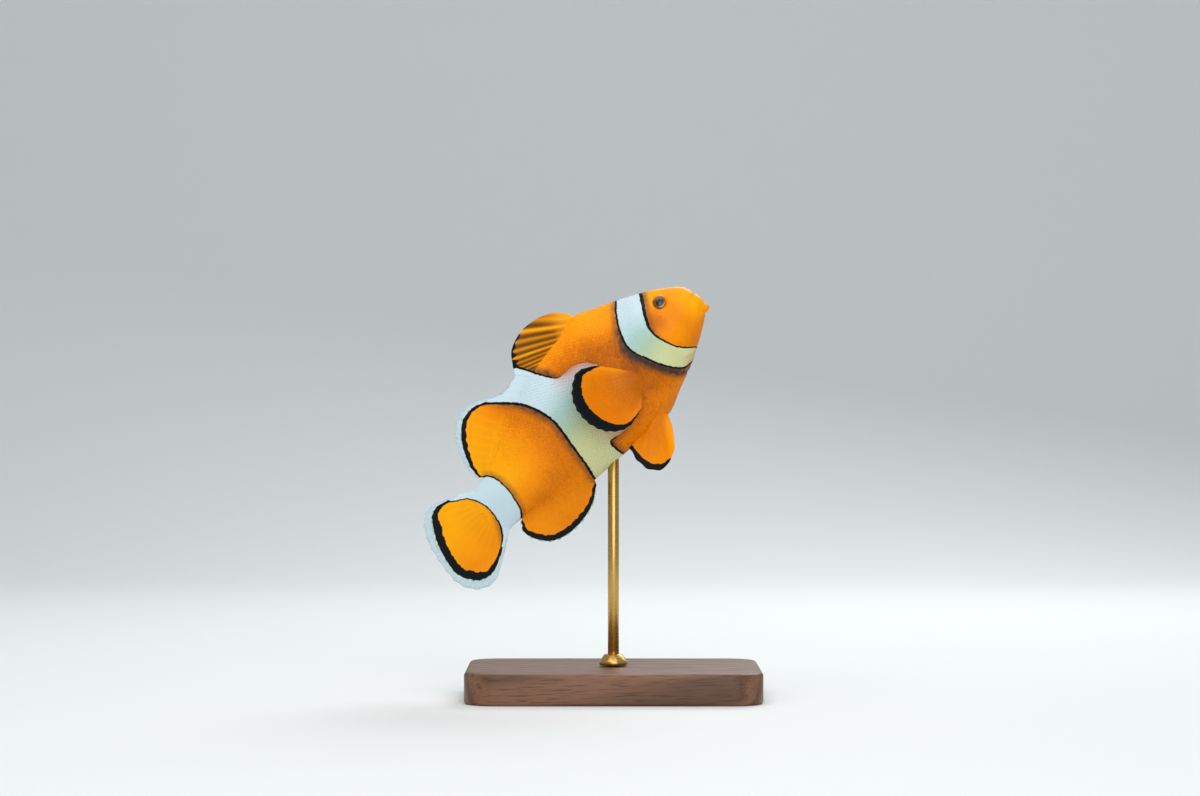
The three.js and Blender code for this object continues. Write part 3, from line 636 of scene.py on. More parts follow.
fins = {
    "caudal": {
        "roots": [(18.9, 7.9), (18.1, 5.0), (17.8, 2.0), (18.0, -1.0), (18.8, -3.8)],
        "tips": [
            (15.3, 9.8), (12.3, 11.5), (9.2, 12.4), (6.3, 11.6), (4.0, 9.0), (2.4, 5.3), (1.3, 0.3),
            (1.1, -4.2), (2.5, -7.5), (4.9, -9.4), (8.0, -9.8), (12.0, -7.8), (16.0, -5.2),
        ],
        "rays": 17, "across": 128, "along": 36, "under": 1.2, "fade": 5.0, "rounded": (0.1, 0.1),
        "ray": 0.07, "branch": 0.24, "ripple": (0.16, 1.4), "brown": 0.08, "tone": -0.1,
        "black": [
            (0, 0.4), (0.08, 0.7), (0.15, 1.4), (0.25, 1.9), (0.45, 1.8), (0.6, 2.0), (0.76, 1.8),
            (0.86, 1.0), (1, 0.4),
        ],
        "fringe": [
            (0, 0.3), (0.1, 0.7), (0.2, 1.8), (0.27, 2.2), (0.4, 1.7), (0.53, 1.4), (0.64, 2.2),
            (0.78, 1.9), (0.88, 0.8), (1, 0.35),
        ],
    },
    "softDorsal": {
        "roots": [(45.85, 17.45), (38.5, 15.6), (31.5, 12.9), (26.0, 9.9), (22.9, 8.2)],
        "tips": [
            (44.05, 19.65), (39.4, 19.0), (36.2, 20.2), (32.5, 22.1), (28.5, 22.3),
            (25.0, 20.2), (22.6, 16.6), (21.3, 12.6), (21.2, 9.6),
        ],
        "rays": 15, "across": 105, "along": 30, "rounded": (0, 0.15),
        "ray": 0.08, "ripple": (0.15, 2.0), "brown": 0.07, "tone": -0.1,
        "black": [(0, 0.6), (0.3, 0.6), (0.4, 0.75), (0.6, 1.1), (0.8, 1.1), (1, 0.6)],
        "fringe": [(0, 0.4), (0.2, 0.5), (0.35, 0.8), (0.5, 1.3), (0.65, 1.5), (0.85, 1.1), (1, 0.5)],
    },
    "spinyDorsal": {
        "roots": [(62.6, 18.9), (57.0, 18.8), (51.5, 18.2), (45.6, 17.4)],
        "tips": [
            (62.2, 20.7), (59.8, 23.4), (56.0, 25.2), (51.4, 25.5), (47.4, 24.2), (45.3, 21.8), (43.8, 19.6),
        ],
        "rays": 10, "across": 90, "along": 34, "rounded": (0.35, 0),
        "ray": 0.1, "branch": 0.0, "scallop": 0.0, "ripple": (0.15, 2.0), "brown": 1.0, "lean": 0.1,
        "tone": -0.05,
        "through": 0.9,  # share of the black margin that a ray's orange covers
        # the rays' slant: a ray's s, mm between rays, the base's h, the slant's cotangent, and its growth
        # per mm
        "laidBack": (60.7, 2.3, 18.7, 1.295, 0.099),
        "black": [(0, 0.0), (0.4, 0.0), (0.5, 0.4), (0.62, 0.6), (0.75, 0.9), (0.87, 1.6), (1, 2.2)],
    },
    "anal": {
        "roots": [(40.0, -9.1), (34.4, -8.4), (28.6, -6.4), (23.0, -3.9)],
        "tips": [
            (39.2, -10.8), (35.6, -13.3), (31.2, -14.4), (26.6, -14.2),
            (22.8, -12.6), (20.4, -9.3), (19.9, -6.4), (20.9, -4.7),
        ],
        "rays": 13, "across": 91, "along": 30, "ray": 0.08, "ripple": (0.15, 1.5), "brown": 0.04,
        "black": [(0, 0.6), (0.15, 0.9), (0.35, 1.3), (0.8, 1.3), (1, 0.7)],
        "fringe": [(0, 0.0), (0.3, 0.25), (0.8, 0.3), (1, 0.2)],
    },
    "pectoral": {
        "roots": [(62.5, 2.2), (61.2, -3.4)],
        "tips": [
            (58.6, 7.5), (57.2, 8.8), (53.6, 10.1), (49.1, 6.6), (47.8, 1.2), (49.3, -3.7), (53.2, -6.6),
            (58.4, -5.9),
        ],
        "rays": 17, "across": 102, "along": 34, "under": 3.6, "fade": 3.0, "rounded": (0.5, 0.5),
        "ray": 0.05, "branch": 0.24, "ripple": (0.12, 1.3), "brown": 0.05, "tone": 0.27,
        "flesh": (0.3, -1.5),  # a low swelling's half thickness, and where along the ray it is
        "swing": {1: math.radians(33), -1: math.radians(56)},  # out from the flank, on the right and left
        "drawnAt": math.radians(33),  # the swing at which the tips' places are given
        "rootDepth": 0.85,  # of the fin's hinge line under the flank
        "bend": 2.5,  # mm over which it turns from along the flank to swung out
        "inward": (-0.99, 0.11),  # which way the rays run under the skin
        "cup": 1.5,
        "black": [
            (0, 0.15), (0.06, 0.8), (0.16, 1.7), (0.35, 2.5), (0.55, 2.6), (0.7, 2.1), (0.82, 1.2),
            (0.9, 0.5), (1, 0.12),
        ],
    },
    "pelvic": {
        "roots": [(62.0, -10.2), (56.0, -9.9)],
        "tips": [(57.4, -17.4), (55.4, -18.3), (52.5, -18.9), (50.1, -17.0), (49.5, -13.6), (50.3, -10.1)],
        "rays": 6, "across": 48, "along": 34, "under": 3.2, "fade": 4.5, "rounded": (0.25, 0.25),
        "ray": 0.06, "branch": 0.22, "ripple": (0.12, 0.8), "brown": 0.05, "tone": 0.42,
        "bow": 0.65,  # how far the first ray bends forward
        "rootW": 1.6,  # of its root beside the middle plane
        "splay": {1: 2.8, -1: 4.2}, "lastSplay": 0.5,  # how far the first and last tip stand out
        "black": [(0, 0.0), (0.15, 0.1), (0.25, 0.8), (0.4, 1.5), (0.6, 1.6), (0.85, 1.3), (1, 0.9)],
    },
}
for name, form in fins.items():
    fins[name] = fin = {**finCommon, **form}
    fin["root"] = evenly(splineThrough(fin["roots"]))
    fin["tip"] = evenly(splineThrough(fin["tips"]))
    fin["edge"] = fin["tip"](np.linspace(0, 1, 400))
    fin["paired"] = "swing" in fin or "splay" in fin


def flankWidth(s, h):
    # half the body's width at a place of its outline: the cosine that belongs to the height's share of
    # the reach, narrowed as in bodyOval
    along = np.interp(s, spineAt[1], spineAt[0])
    top, bottom, half, backPinch, bellyPinch = (curve(along) for curve in bodyCurves[1:])
    middle = bottom + (top - bottom) * bodyForm["widestAt"]
    share = np.where(h > middle, (h - middle) / (top - middle), (middle - h) / (middle - bottom))
    up = np.clip(share, 0, 0.999)
    pinch = np.where(h > middle, backPinch, bellyPinch)
    return half * np.sqrt(1 - up**2) * (1 - pinch * up**2) - bodyForm["inset"]


def rayAt(fin, u, v):
    # 1 on a ray's crest and 0 between rays: a bell over the distance to the nearest ray, which forks
    # further out. Rays that lie far back are counted by the s at which a line, flatter towards the tail,
    # meets the fin's base.
    if "laidBack" in fin:
        first, pitch, baseH, cotangent, flatter = fin["laidBack"]
        flat = finFlat(fin, u, v)
        above = flat[..., 1] - baseH
        base = (flat[..., 0] + (cotangent + flatter * first) * above) / (1 + flatter * above)
        phase = (base - first) / pitch
        number = np.round(phase)
        away = phase - number
        strength = 0.75 + 0.25 * np.cos(2.2 * number)  # not the same for each ray
        return np.exp(-(away / np.where(away > 0, 0.2, 0.3)) ** 2) * strength
    phase = u * (fin["rays"] - 1)
    away = np.abs(phase - np.round(phase))
    fork = fin["branch"] * smoothstep(0.4, 1.0, v)
    return np.exp(-((away - fork) / (0.14 + 0.04 * v)) ** 2)


def rayEnds(fin, u):
    # where a ray starts and ends, and its length: the tips run ahead of the roots by lean, so that the
    # rays lie back
    root, tip = fin["root"](u), fin["tip"](u + fin["lean"] * np.sin(math.pi * u))
    return root, tip, np.maximum(np.linalg.norm(tip - root, axis=-1), 0.5)


def alongRay(fin, u, t):
    # row t from 0 to 1 as a share of the ray, from a little inside the body to the tip
    inside = fin["under"] / rayEnds(fin, u)[2]
    return t * (1 + inside) - inside


def finFlat(fin, u, v):
    # a place in the fin's own plane: the share v of the way from root to tip, less a scallop between the
    # rays' ends, and bowed forward in the middle of the first rays. Inside the body the rays of a swung
    # fin run side by side.
    between = np.abs(np.sin(math.pi * u * (fin["rays"] - 1)))
    root, tip, length = rayEnds(fin, u)
    reach = v * (1 - np.minimum(0.3, fin["scallop"] * between**1.5 / length) * np.maximum(v, 0) ** 3)
    bow = fin.get("bow", 0) * np.sin(math.pi * np.clip(reach, 0, 1)) * (1 - u) ** 2
    if "inward" in fin:
        ahead = (np.minimum(v, 0) * length)[..., None] * fin["inward"]
        return root + (tip - root) * np.maximum(reach, 0)[..., None] + ahead
    return root + (tip - root) * reach[..., None] + bow[..., None] * [1, 0]


def finMiddle(fin, side, u, v):
    # the fin's middle surface: its flat place with a slight ripple, left in the middle plane, splayed, or
    # swung out, which follows half of x + sqrt(x^2 + c^2), so that it leaves the flank in a bend
    flat = finFlat(fin, u, v)
    amount, waves = fin["ripple"]
    outer = np.maximum(v, 0)
    out = amount * outer**2 * np.sin(2 * math.pi * waves * u)
    if "swing" in fin:
        root = fin["root"](u)
        back = (root[..., 0] - flat[..., 0]) / math.cos(fin["drawnAt"])
        swing = fin["swing"][side]
        cup = fin["cup"] * np.sin(math.pi * outer) ** 2 * np.sin(math.pi * u)
        away = (back + np.sqrt(back**2 + fin["bend"] ** 2)) / 2 - 0.06 * np.minimum(back + 1, 0) ** 2
        under = flankWidth(root[..., 0], root[..., 1]) - fin["rootDepth"]
        w = side * (under + away * math.sin(swing) - cup + out)
        return np.stack([root[..., 0] - back * math.cos(swing), flat[..., 1], w], -1)
    if "splay" in fin:
        first = fin["splay"][side]
        w = side * (fin["rootW"] + v * (first + (fin["lastSplay"] - first) * u) + out)
        return np.stack([flat[..., 0], flat[..., 1], w], -1)
    return np.stack([flat[..., 0], flat[..., 1], out], -1)


def finThickness(fin, u, v):
    # half the thickness: skin and rays, which thin out towards the edge, on a fleshy base. The base
    # starts a little inside the body as thick as the body there and with its slope, and dies away as an
    # exponential.
    length = rayEnds(fin, u)[2]
    out = v * length
    if "swing" in fin:  # a blade that leaves the flank along it has only a low swelling there
        swelling, place = fin["flesh"]
        flesh = swelling * np.exp(-((out - place) / fin["fade"]) ** 2)
    else:
        start = -fin["under"] / length
        near, far = (finFlat(fin, u, start + step / length) for step in (0, 0.2))
        width = flankWidth(near[..., 0], near[..., 1]) - fin.get("rootW", 0)
        slope = (width + fin.get("rootW", 0) - flankWidth(far[..., 0], far[..., 1])) / 0.2
        width = np.maximum(width - fin["skin"] - 0.15, 0.05)
        fade = np.clip(width / np.maximum(slope, 0.1), 0.8, fin["fade"])
        flesh = width * np.exp(-(out + fin["under"]) / fade)
    front, rear = fin["rounded"]  # shares of the base that run out thin at its ends
    ends = np.sqrt(np.clip(u / front, 0, 1)) if front else 1.0
    ends = ends * (np.sqrt(np.clip((1 - u) / rear, 0, 1)) if rear else 1.0)
    bare = smoothstep(0, 0.3, v) * (1 - 0.7 * v) * smoothstep(0, 0.05, u) * smoothstep(1, 0.95, u)
    skin = fin["skin"] + fin["rootSkin"] * (1 - np.clip(v, 0, 1)) ** 1.5
    return skin + fin["ray"] * rayAt(fin, u, v) * bare + flesh * ends


def finSkin(fin, side, face, u, v, lift=0.0):
    # the middle surface, moved along its normal to one face (1 or -1) by half the thickness
    step = 1e-3
    ahead, behind = np.minimum(u + step, 1), np.maximum(u - step, 0)
    du = finMiddle(fin, side, ahead, v) - finMiddle(fin, side, behind, v)
    dv = finMiddle(fin, side, u, v) - finMiddle(fin, side, u, v - step)
    normal = np.cross(du, dv)
    normal /= np.maximum(np.linalg.norm(normal, axis=-1, keepdims=True), 1e-12)
    return finMiddle(fin, side, u, v) + normal * (face * (finThickness(fin, u, v) + lift))[..., None]


def finFields(fin, u, v, jitter=0.0, toneJitter=0.0, edge=0.0):
    # as bodyFields: the distance is into a band of the body or into the clear edge, whichever is larger,
    # and that into the edge is its width less the way to the nearest tip. Rays notch the margin a little.
    flat = finFlat(fin, u, v)
    s, h = flat[..., 0], flat[..., 1]
    if fin["paired"]:  # no bands
        distance, black, blushShade, dusk = np.full(s.shape, -bandReach), *np.zeros((3, *s.shape))
    else:
        distance, black, blushShade, dusk = bandFields(flat)
    points = flat.reshape(-1, 2)
    square = (points[:, :1] - fin["edge"][:, 0]) ** 2 + (points[:, 1:2] - fin["edge"][:, 1]) ** 2
    toEdge = np.sqrt(square.min(1)).reshape(s.shape)
    place = (square.argmin(1) / (len(fin["edge"]) - 1)).reshape(s.shape)
    fringe = np.interp(place, *zip(*fin["fringe"]))
    margin = np.interp(place, *zip(*fin["black"]))
    ray = rayAt(fin, u, v)
    serration = 0.1 * (ray - 0.4)
    hasFringe = fringe > 0.02
    intoFringe = np.where(hasFringe, fringe - toEdge + serration, -toEdge - 0.2)
    margin = np.where(hasFringe | (margin < 0.1), margin, margin + 0.18)
    wins = intoFringe + 0.5 * margin > distance + 0.5 * black
    covered = 1 - fin.get("through", 0) * ray
    marks = np.stack([
        np.where(wins, intoFringe, distance) + jitter,
        np.where(wins, (margin + serration * (margin > 0.1)) * covered, black),
        np.where(wins, 0, blushShade),
    ], -1)
    if fin["paired"]:  # brighter outwards and a painted highlight along the first ray's edge, which is painted light, and the body's tone, with its painted shade, at the root
        tone = fin["tone"] + 0.1 * smoothstep(0.3, 0.9, v) + 0.3 * smoothstep(0.25, 0, u)
        tone = tone + (toneWithPaintedLight(s, h) - tone) * smoothstep(0.4, -0.1, v) + toneJitter
    else:
        tone = toneWithPaintedLight(s, h) + toneJitter + fin["tone"] * smoothstep(-0.1, 0.3, v)
    if "laidBack" in fin:  # pale rays on brown webbing, whose front edge is orange
        tone = tone + 0.3 * ray * smoothstep(0.1, 0.4, v)
        behind = smoothstep(0.06, 0.42, place + 0.2 * (1 - v))
        between = fin["brown"] * smoothstep(-0.25, 0.02, v) * behind
    else:  # faint ticks, near the body only
        between = fin["brown"] * smoothstep(0.05, 0.15, v) * (1 - smoothstep(0.3, 0.5, v))
    tone = np.where(np.where(wins, intoFringe, distance + 0.5 * black) > 0, paintedWhiteLight(s, h), tone)
    clear = smoothstep(-0.2, 0.5, intoFringe) * hasFringe
    tints = np.stack([np.where(wins, 0, dusk), tone, np.zeros_like(s) + edge], -1)
    body = np.stack([ray, between, clear], -1)
    return {"marks": marks.reshape(-1, 3), "tints": tints.reshape(-1, 3), "fin": body.reshape(-1, 3)}


def finShell(chartName, fin, side=1):
    # rows from root to edge, each a loop over one face and back over the other, closed by strips at root
    # and edge
    nu, nv = fin["across"], fin["along"]
    row, u = np.meshgrid(np.arange(nv + 1) / nv, np.arange(nu + 1) / nu, indexing="ij")
    v = alongRay(fin, u, row)
    sides = [finSkin(fin, side, face, u, v).reshape(-1, 3) for face in (1, -1)]
    fields = finFields(fin, u, v)
    count = (nu + 1) * (nv + 1)
    numbers = np.arange(count).reshape(nv + 1, nu + 1)
    uvs = [chartPlace(chart, u, row) for chart in unwrap[chartName]]
    rim = aroundGrid(numbers)
    nextRim = np.roll(rim, -1)
    band = np.stack([nextRim, rim, rim + count, nextRim + count], -1)
    flatUv = uvs[0].reshape(-1, 2)
    faces = [gridFaces(numbers), gridFaces(numbers)[:, ::-1] + count, band]
    clear = fields["fin"][:, 2]
    return {
        "points": toWorld(np.concatenate(sides)),
        "faces": faces,
        "uvs": [
            gridCorners(uvs[0]),
            gridCorners(uvs[1])[:, ::-1],
            np.stack([flatUv[nextRim], flatUv[rim], flatUv[rim], flatUv[nextRim]], 1),
        ],
        "fields": {name: np.concatenate([value, value]) for name, value in fields.items()},
        "finish": [(clear[face % count].max(1) > 0.02).astype(int) for face in faces],  # 1 has a clear edge
    }


# Finishes.

def skinFinish(name, clearEdge):
    # Wet fish skin, satin under a thin film of slime: soft gloss with a finer highlight on top, orange
    # with cool white bands and inky lines. With clearEdge it is fin membrane, which lets what is behind
    # it show beyond the black margin.
    finish, tree, shader = startFinish(name)
    place = addNode(tree, "TexCoord", out="Object")
    marks = addNode(tree, "Attribute", attribute_name="marks", out="Vector")
    tints = addNode(tree, "Attribute", attribute_name="tints", out="Vector")
    fin = addNode(tree, "Attribute", attribute_name="fin", out="Vector")
    white, blackWidth, blushShade = (addNode(tree, "SeparateXYZ", {0: marks}, out=k) for k in range(3))
    dusk, tone, scaleEdge = (addNode(tree, "SeparateXYZ", {0: tints}, out=k) for k in range(3))
    ray, brown, clear = (addNode(tree, "SeparateXYZ", {0: fin}, out=k) for k in range(3))

    # noise as coarse as a scale, as the clouds of colour and as pigment dots, which are drawn at 0.25 mm
    # to show
    ragged = addNode(tree, "TexNoise", {"Vector": place, "Scale": 1 / (0.9 * mm), "Detail": 2.0})
    cloudy = addNode(tree, "TexNoise", {"Vector": place, "Scale": 1 / (7 * mm), "Detail": 3.0})
    grain = addNode(tree, "TexNoise", {"Vector": place, "Scale": 1 / (0.25 * mm), "Detail": 2.0})

    # white, black line and orange: the distance into white wobbles by a tenth of a millimetre
    wobble = addNode(tree, "MapRange", {0: ragged, 1: 0.3, 2: 0.7, 3: -0.08, 4: 0.08})
    white = addNode(tree, "Math", {0: white, 1: wobble}, operation="ADD")
    black = addNode(tree, "Math", {0: white, 1: blackWidth}, operation="ADD")
    soft = {"interpolation_type": "SMOOTHSTEP"}
    isWhite = addNode(tree, "MapRange", {0: white, 1: -0.06, 2: 0.06}, **soft)
    isBlack = addNode(tree, "MapRange", {0: black, 1: -0.08, 2: 0.06}, **soft)

    # the orange by its tone, which carries painted light and shade, browned between spiny rays, darkened by
    # dusk beside the bands, partly pigment and partly painted shade behind the gill cover, and darkened at
    # the scales' edges
    cloud = addNode(tree, "MapRange", {0: cloudy, 1: 0.3, 2: 0.7, 3: -0.06, 4: 0.06})
    dots = addNode(tree, "MapRange", {0: grain, 1: 0.3, 2: 0.7, 3: -0.05, 4: 0.05})
    tone = addNode(tree, "Math", {0: tone, 1: cloud}, operation="ADD")
    tone = addNode(tree, "Math", {0: tone, 1: dots}, operation="ADD")
    orange = addNode(tree, "ValToRGB", {0: tone}, stops=[
        (0.0, "#8e4600"), (1.0, "#ffac00"), (0.15, "#b65e00"), (0.35, "#dc7600"), (0.55, "#f48e00"),
        (0.75, "#fb9c00"),
    ])
    webbing = addNode(tree, "Math", {0: brown, 1: ray}, operation="MULTIPLY")
    webbing = addNode(tree, "Math", {0: brown, 1: webbing}, operation="SUBTRACT")
    orange = addNode(tree, "Mix", {0: webbing, 6: orange, 7: linear("#603a05")}, **colourMix)
    # dusk: dark brown beyond the black lines, partly pigment at the scales' edges and partly painted shade
    patchy = addNode(tree, "MapRange", {0: ragged, 1: 0.3, 2: 0.7, 3: 0.75, 4: 1.25})
    dusk = addNode(tree, "Math", {0: dusk, 1: patchy}, operation="MULTIPLY", use_clamp=True)
    orange = addNode(tree, "Mix", {0: dusk, 6: orange, 7: linear("#45342a")}, **colourMix)
    edge = addNode(tree, "MapRange", {0: scaleEdge, 1: 0.75, 2: 1.0, 3: 0.0, 4: 0.5}, **soft)
    orange = addNode(tree, "Mix", {0: edge, 6: orange, 7: linear("#7c4408")}, **colourMix)

    # the white by that tone, from cool white to greenish straw: mostly painted reflected light and shade
    pale = addNode(tree, "ValToRGB", {0: tone}, stops=[
        (0.0, "#cadee6"), (1.0, "#d2d49c"), (0.35, "#a8c8c4"), (0.65, "#aec6a6"),
    ])
    # pinkish brown where the blush's painted shade falls on the white
    pale = addNode(tree, "Mix", {0: blushShade, 6: pale, 7: linear("#c4846c")}, **colourMix)
    colour = addNode(tree, "Mix", {0: isBlack, 6: orange, 7: linear("#0c1012")}, **colourMix)
    colour = addNode(tree, "Mix", {0: isWhite, 6: colour, 7: pale}, **colourMix)
    feed(tree, shader, {
        "Base Color": colour,
        "Roughness": addNode(tree, "MapRange", {0: grain, 1: 0.3, 2: 0.7, 3: 0.36, 4: 0.48}),
        "IOR": 1.4, "Specular IOR Level": 0.14,
        "Coat Weight": 0.06, "Coat Roughness": 0.18, "Coat IOR": 1.34,
        "Normal": addNode(tree, "Bump", {"Strength": 0.2, "Distance": 0.04 * mm, "Height": grain}),
    })
    if clearEdge:
        cover = addNode(tree, "MapRange", {0: clear, 1: 0.0, 2: 1.0, 3: 1.0, 4: 0.5})
        rays = addNode(tree, "Math", {0: ray, 1: 0.3}, operation="MULTIPLY")
        cover = addNode(tree, "Math", {0: cover, 1: rays}, operation="ADD", use_clamp=True)
        tree.links.new(cover, shader.inputs["Alpha"])
    return finish


skinWet = skinFinish("wetFishSkin", False)
finClear = skinFinish("clearFinEdge", True)

shells = [bodyShell()]
for chartName, key, side in [
    ("caudal", "caudal", 1), ("softDorsal", "softDorsal", 1), ("spinyDorsal", "spinyDorsal", 1),
    ("anal", "anal", 1), ("pectoralRight", "pectoral", 1), ("pectoralLeft", "pectoral", -1),
    ("pelvicRight", "pelvic", 1), ("pelvicLeft", "pelvic", -1),
]:
    shells.append(finShell(chartName, fins[key], side))
fleshNodes = [name for name in frame["nodes"] if not name.startswith(("eye_", "stand_"))]
makePiece("skin", shells, [skinWet, finClear], fleshNodes)

# Eyes: a flattened ball each, turned a little forward and up.
eyeForm = {
    "centre": (*headForm["eye"], 3.1), "radius": 2.0,
    "depth": (1.2, 1.8),  # of the ball's front and back half
    "look": (0.3, 0.42),  # how far the ball is turned forward and up, against 1 to the side
    "gaze": (0.0, 0.06),  # the same for the pupil
    "pupil": 0.95, "ring": 1.02, "iris": 1.62,  # outer radii of the coloured rings
    "dome": 0.08, "rings": 44, "around": 80,
}


def eyeShell(side):
    # an ellipsoid over the pole angle and the turn, with a slight dome over the iris. iris is the place
    # across the gaze: distance from its axis, forward and up.
    look = np.array([*eyeForm["look"], side], float)
    look /= np.linalg.norm(look)
    up = np.cross(look, [1.0, 0.0, 0.0])
    up /= np.linalg.norm(up)
    across = np.cross(up, look)
    around = eyeForm["around"]
    tilt = np.linspace(0, math.pi, eyeForm["rings"] + 2)[1:-1][:, None, None]
    turn = (2 * math.pi * np.arange(around) / around)[None, :, None]
    radius = eyeForm["radius"] * np.sin(tilt)
    half = eyeForm["dome"] * 0.5
    dome = eyeForm["dome"] * hump(radius, 0, 1.4) * (tilt < 1.5) - half
    front, back = eyeForm["depth"]
    depth = np.where(tilt < math.pi / 2, front, back) * np.cos(tilt) + dome
    rings = radius * (np.cos(turn) * across + np.sin(turn) * up) + depth * look
    poles = [look * (front + half), -look * (back + half)]
    points = np.concatenate([rings.reshape(-1, 3), poles])
    gaze = np.array([*eyeForm["gaze"], side], float)
    gaze /= np.linalg.norm(gaze)
    offAxis = points - (points @ gaze)[:, None] * gaze
    away = np.linalg.norm(offAxis, axis=1) + 3 * (points @ gaze < 0)  # the back half is all past the iris
    grid, *fans = tubeFaces(len(rings), around)  # here the poles' fans are wound inwards
    return {
        "points": toWorld(points + np.array(eyeForm["centre"]) * [1, 1, side]),
        "faces": [grid, *(fan[:, [0, 2, 1]] for fan in fans)],
        "fields": {"iris": np.stack([away, offAxis[:, 0], offAxis[:, 1]], -1)},
    }


def eyeFinish():
    # A live fish's eye under its clear cornea: wet and glossy, with a dark pupil, a thin tan ring, and an
    # iris that is brown beside the ring and orange outside, mottled with brown behind, with a painted
    # highlight as a pale crescent under the pupil
    finish, tree, shader = startFinish("wetEye")
    iris = addNode(tree, "Attribute", attribute_name="iris", out="Vector")
    ring, forward, above = (addNode(tree, "SeparateXYZ", {0: iris}, out=k) for k in range(3))
    place = addNode(tree, "TexCoord", out="Object")
    mottle = addNode(tree, "TexNoise", {"Vector": place, "Scale": 1 / (0.55 * mm), "Detail": 3.0})
    wobble = addNode(tree, "MapRange", {0: mottle, 1: 0.3, 2: 0.7, 3: -0.04, 4: 0.04})
    ring = addNode(tree, "Math", {0: ring, 1: wobble}, operation="ADD")
    pupil, tan, edge = eyeForm["pupil"], eyeForm["ring"], eyeForm["iris"]
    last = 2.2  # radius at the ramp's end
    share = addNode(tree, "Math", {0: ring, 1: last}, operation="DIVIDE")
    rings = addNode(tree, "ValToRGB", {0: share}, stops=[(radius / last, colour) for radius, colour in [
        (0.0, "#101413"), (pupil - 0.03, "#141817"), (pupil + 0.02, "#8e6640"), (tan, "#7c5428"),
        (tan + 0.05, "#5c3a10"), (1.3, "#8c5408"), (1.5, "#d88006"), (edge, "#e88c06"), (last, "#f09406"),
    ]])

    behind = addNode(tree, "MapRange", {0: forward, 1: 0.3, 2: -0.9, 3: -0.25, 4: 0.22})
    dark = addNode(tree, "Math", {0: mottle, 1: behind}, operation="ADD")
    dark = addNode(tree, "MapRange", {0: dark, 1: 0.5, 2: 0.66, 3: 0.0, 4: 0.75})
    onIris = addNode(tree, "MapRange", {0: ring, 1: tan, 2: tan + 0.08})
    offIris = addNode(tree, "MapRange", {0: ring, 1: edge - 0.12, 2: edge + 0.05, 3: 1.0, 4: 0.0})
    dark = addNode(tree, "Math", {0: dark, 1: onIris}, operation="MULTIPLY")
    dark = addNode(tree, "Math", {0: dark, 1: offIris}, operation="MULTIPLY")
    colour = addNode(tree, "Mix", {0: dark, 6: rings, 7: linear("#4c3208")}, **colourMix)

    # a painted highlight: a pale crescent under the pupil, on the tan ring
    paintedGlint = addNode(tree, "MapRange", {0: above, 1: -0.5, 2: -0.85})
    inner = addNode(tree, "MapRange", {0: ring, 1: pupil - 0.02, 2: pupil + 0.03})
    outer = addNode(tree, "MapRange", {0: ring, 1: tan + 0.14, 2: tan + 0.06})
    paintedGlint = addNode(tree, "Math", {0: paintedGlint, 1: inner}, operation="MULTIPLY")
    paintedGlint = addNode(tree, "Math", {0: paintedGlint, 1: outer}, operation="MULTIPLY")
    colour = addNode(tree, "Mix", {0: paintedGlint, 6: colour, 7: linear("#e0b086")}, **colourMix)
    feed(tree, shader, {
        "Base Color": colour, "Roughness": 0.3,
        "Coat Weight": 0.3, "Coat Roughness": 0.05, "Coat IOR": 1.38,
    })
    return finish


wetEye = eyeFinish()
for sideName, side in (("right", 1), ("left", -1)):
    makePiece(f"eye_ball_{sideName}", [eyeShell(side)], [wetEye], [f"eye_{sideName}"])

# Scales: thin curved plates like roof tiles, their free edges towards the tail.
scaleForm = {
    "rows": 96,  # round the trunk
    "column": 0.78,  # spacing along, as a share of a row's height
    "leastColumn": 0.24,  # and its least, in mm
    "length": 2.2,  # of a plate, in columns
    "halfWidth": 0.55,  # of a plate, in rows
    "root": -0.06, "rear": 0.07, "crown": 0.025,  # lift at root and rear edge, and fall to the sides
    "thick": 0.03, "cells": 4,
    "wear": 0.012,  # how far a rear edge may stand higher or lower
    "jitter": 0.03,  # of a plate's distance into the bands, and of its tone
    "headShare": 0.8,  # size on the head against the trunk
    "bare": (1.5, 5.0),  # mm from the pectoral fin's base, over which plates rise to their full height
    "faceLine": [  # h and s of the naked face's edge, a line behind and below the eye
        (-7, 77.5), (-3, 77.4), (2, 76.6), (6, 75.3), (8, 75.2), (10, 75.9), (13, 77.8),
    ],
}


def plate():
    # the grid of one plate: a across from -1 to 1, b from root 0 to rear edge 1, whose corners are drawn
    # forward. Its underside is a fan. Its rim is wound inwards, against top and underside.
    n = scaleForm["cells"]
    a, b = np.meshgrid(np.linspace(-1, 1, n + 1), np.linspace(0, 1, n + 1))
    rear = b * (1 - 0.22 * a**2 * b)
    wide = a * (1 - 0.28 * b**4) * (0.75 + 0.25 * smoothstep(0, 0.4, b))
    count = (n + 1) ** 2
    numbers = np.arange(count).reshape(n + 1, n + 1)
    loop = aroundGrid(numbers)
    under = count + np.arange(len(loop))
    rim = np.stack([under, np.roll(under, -1), np.roll(loop, -1), loop], -1)
    fan = np.stack([np.full(len(loop) - 2, under[0]), under[1:-1], under[2:]], -1)
    return wide, rear, a, b, loop, [gridFaces(numbers)[:, ::-1], rim, fan]


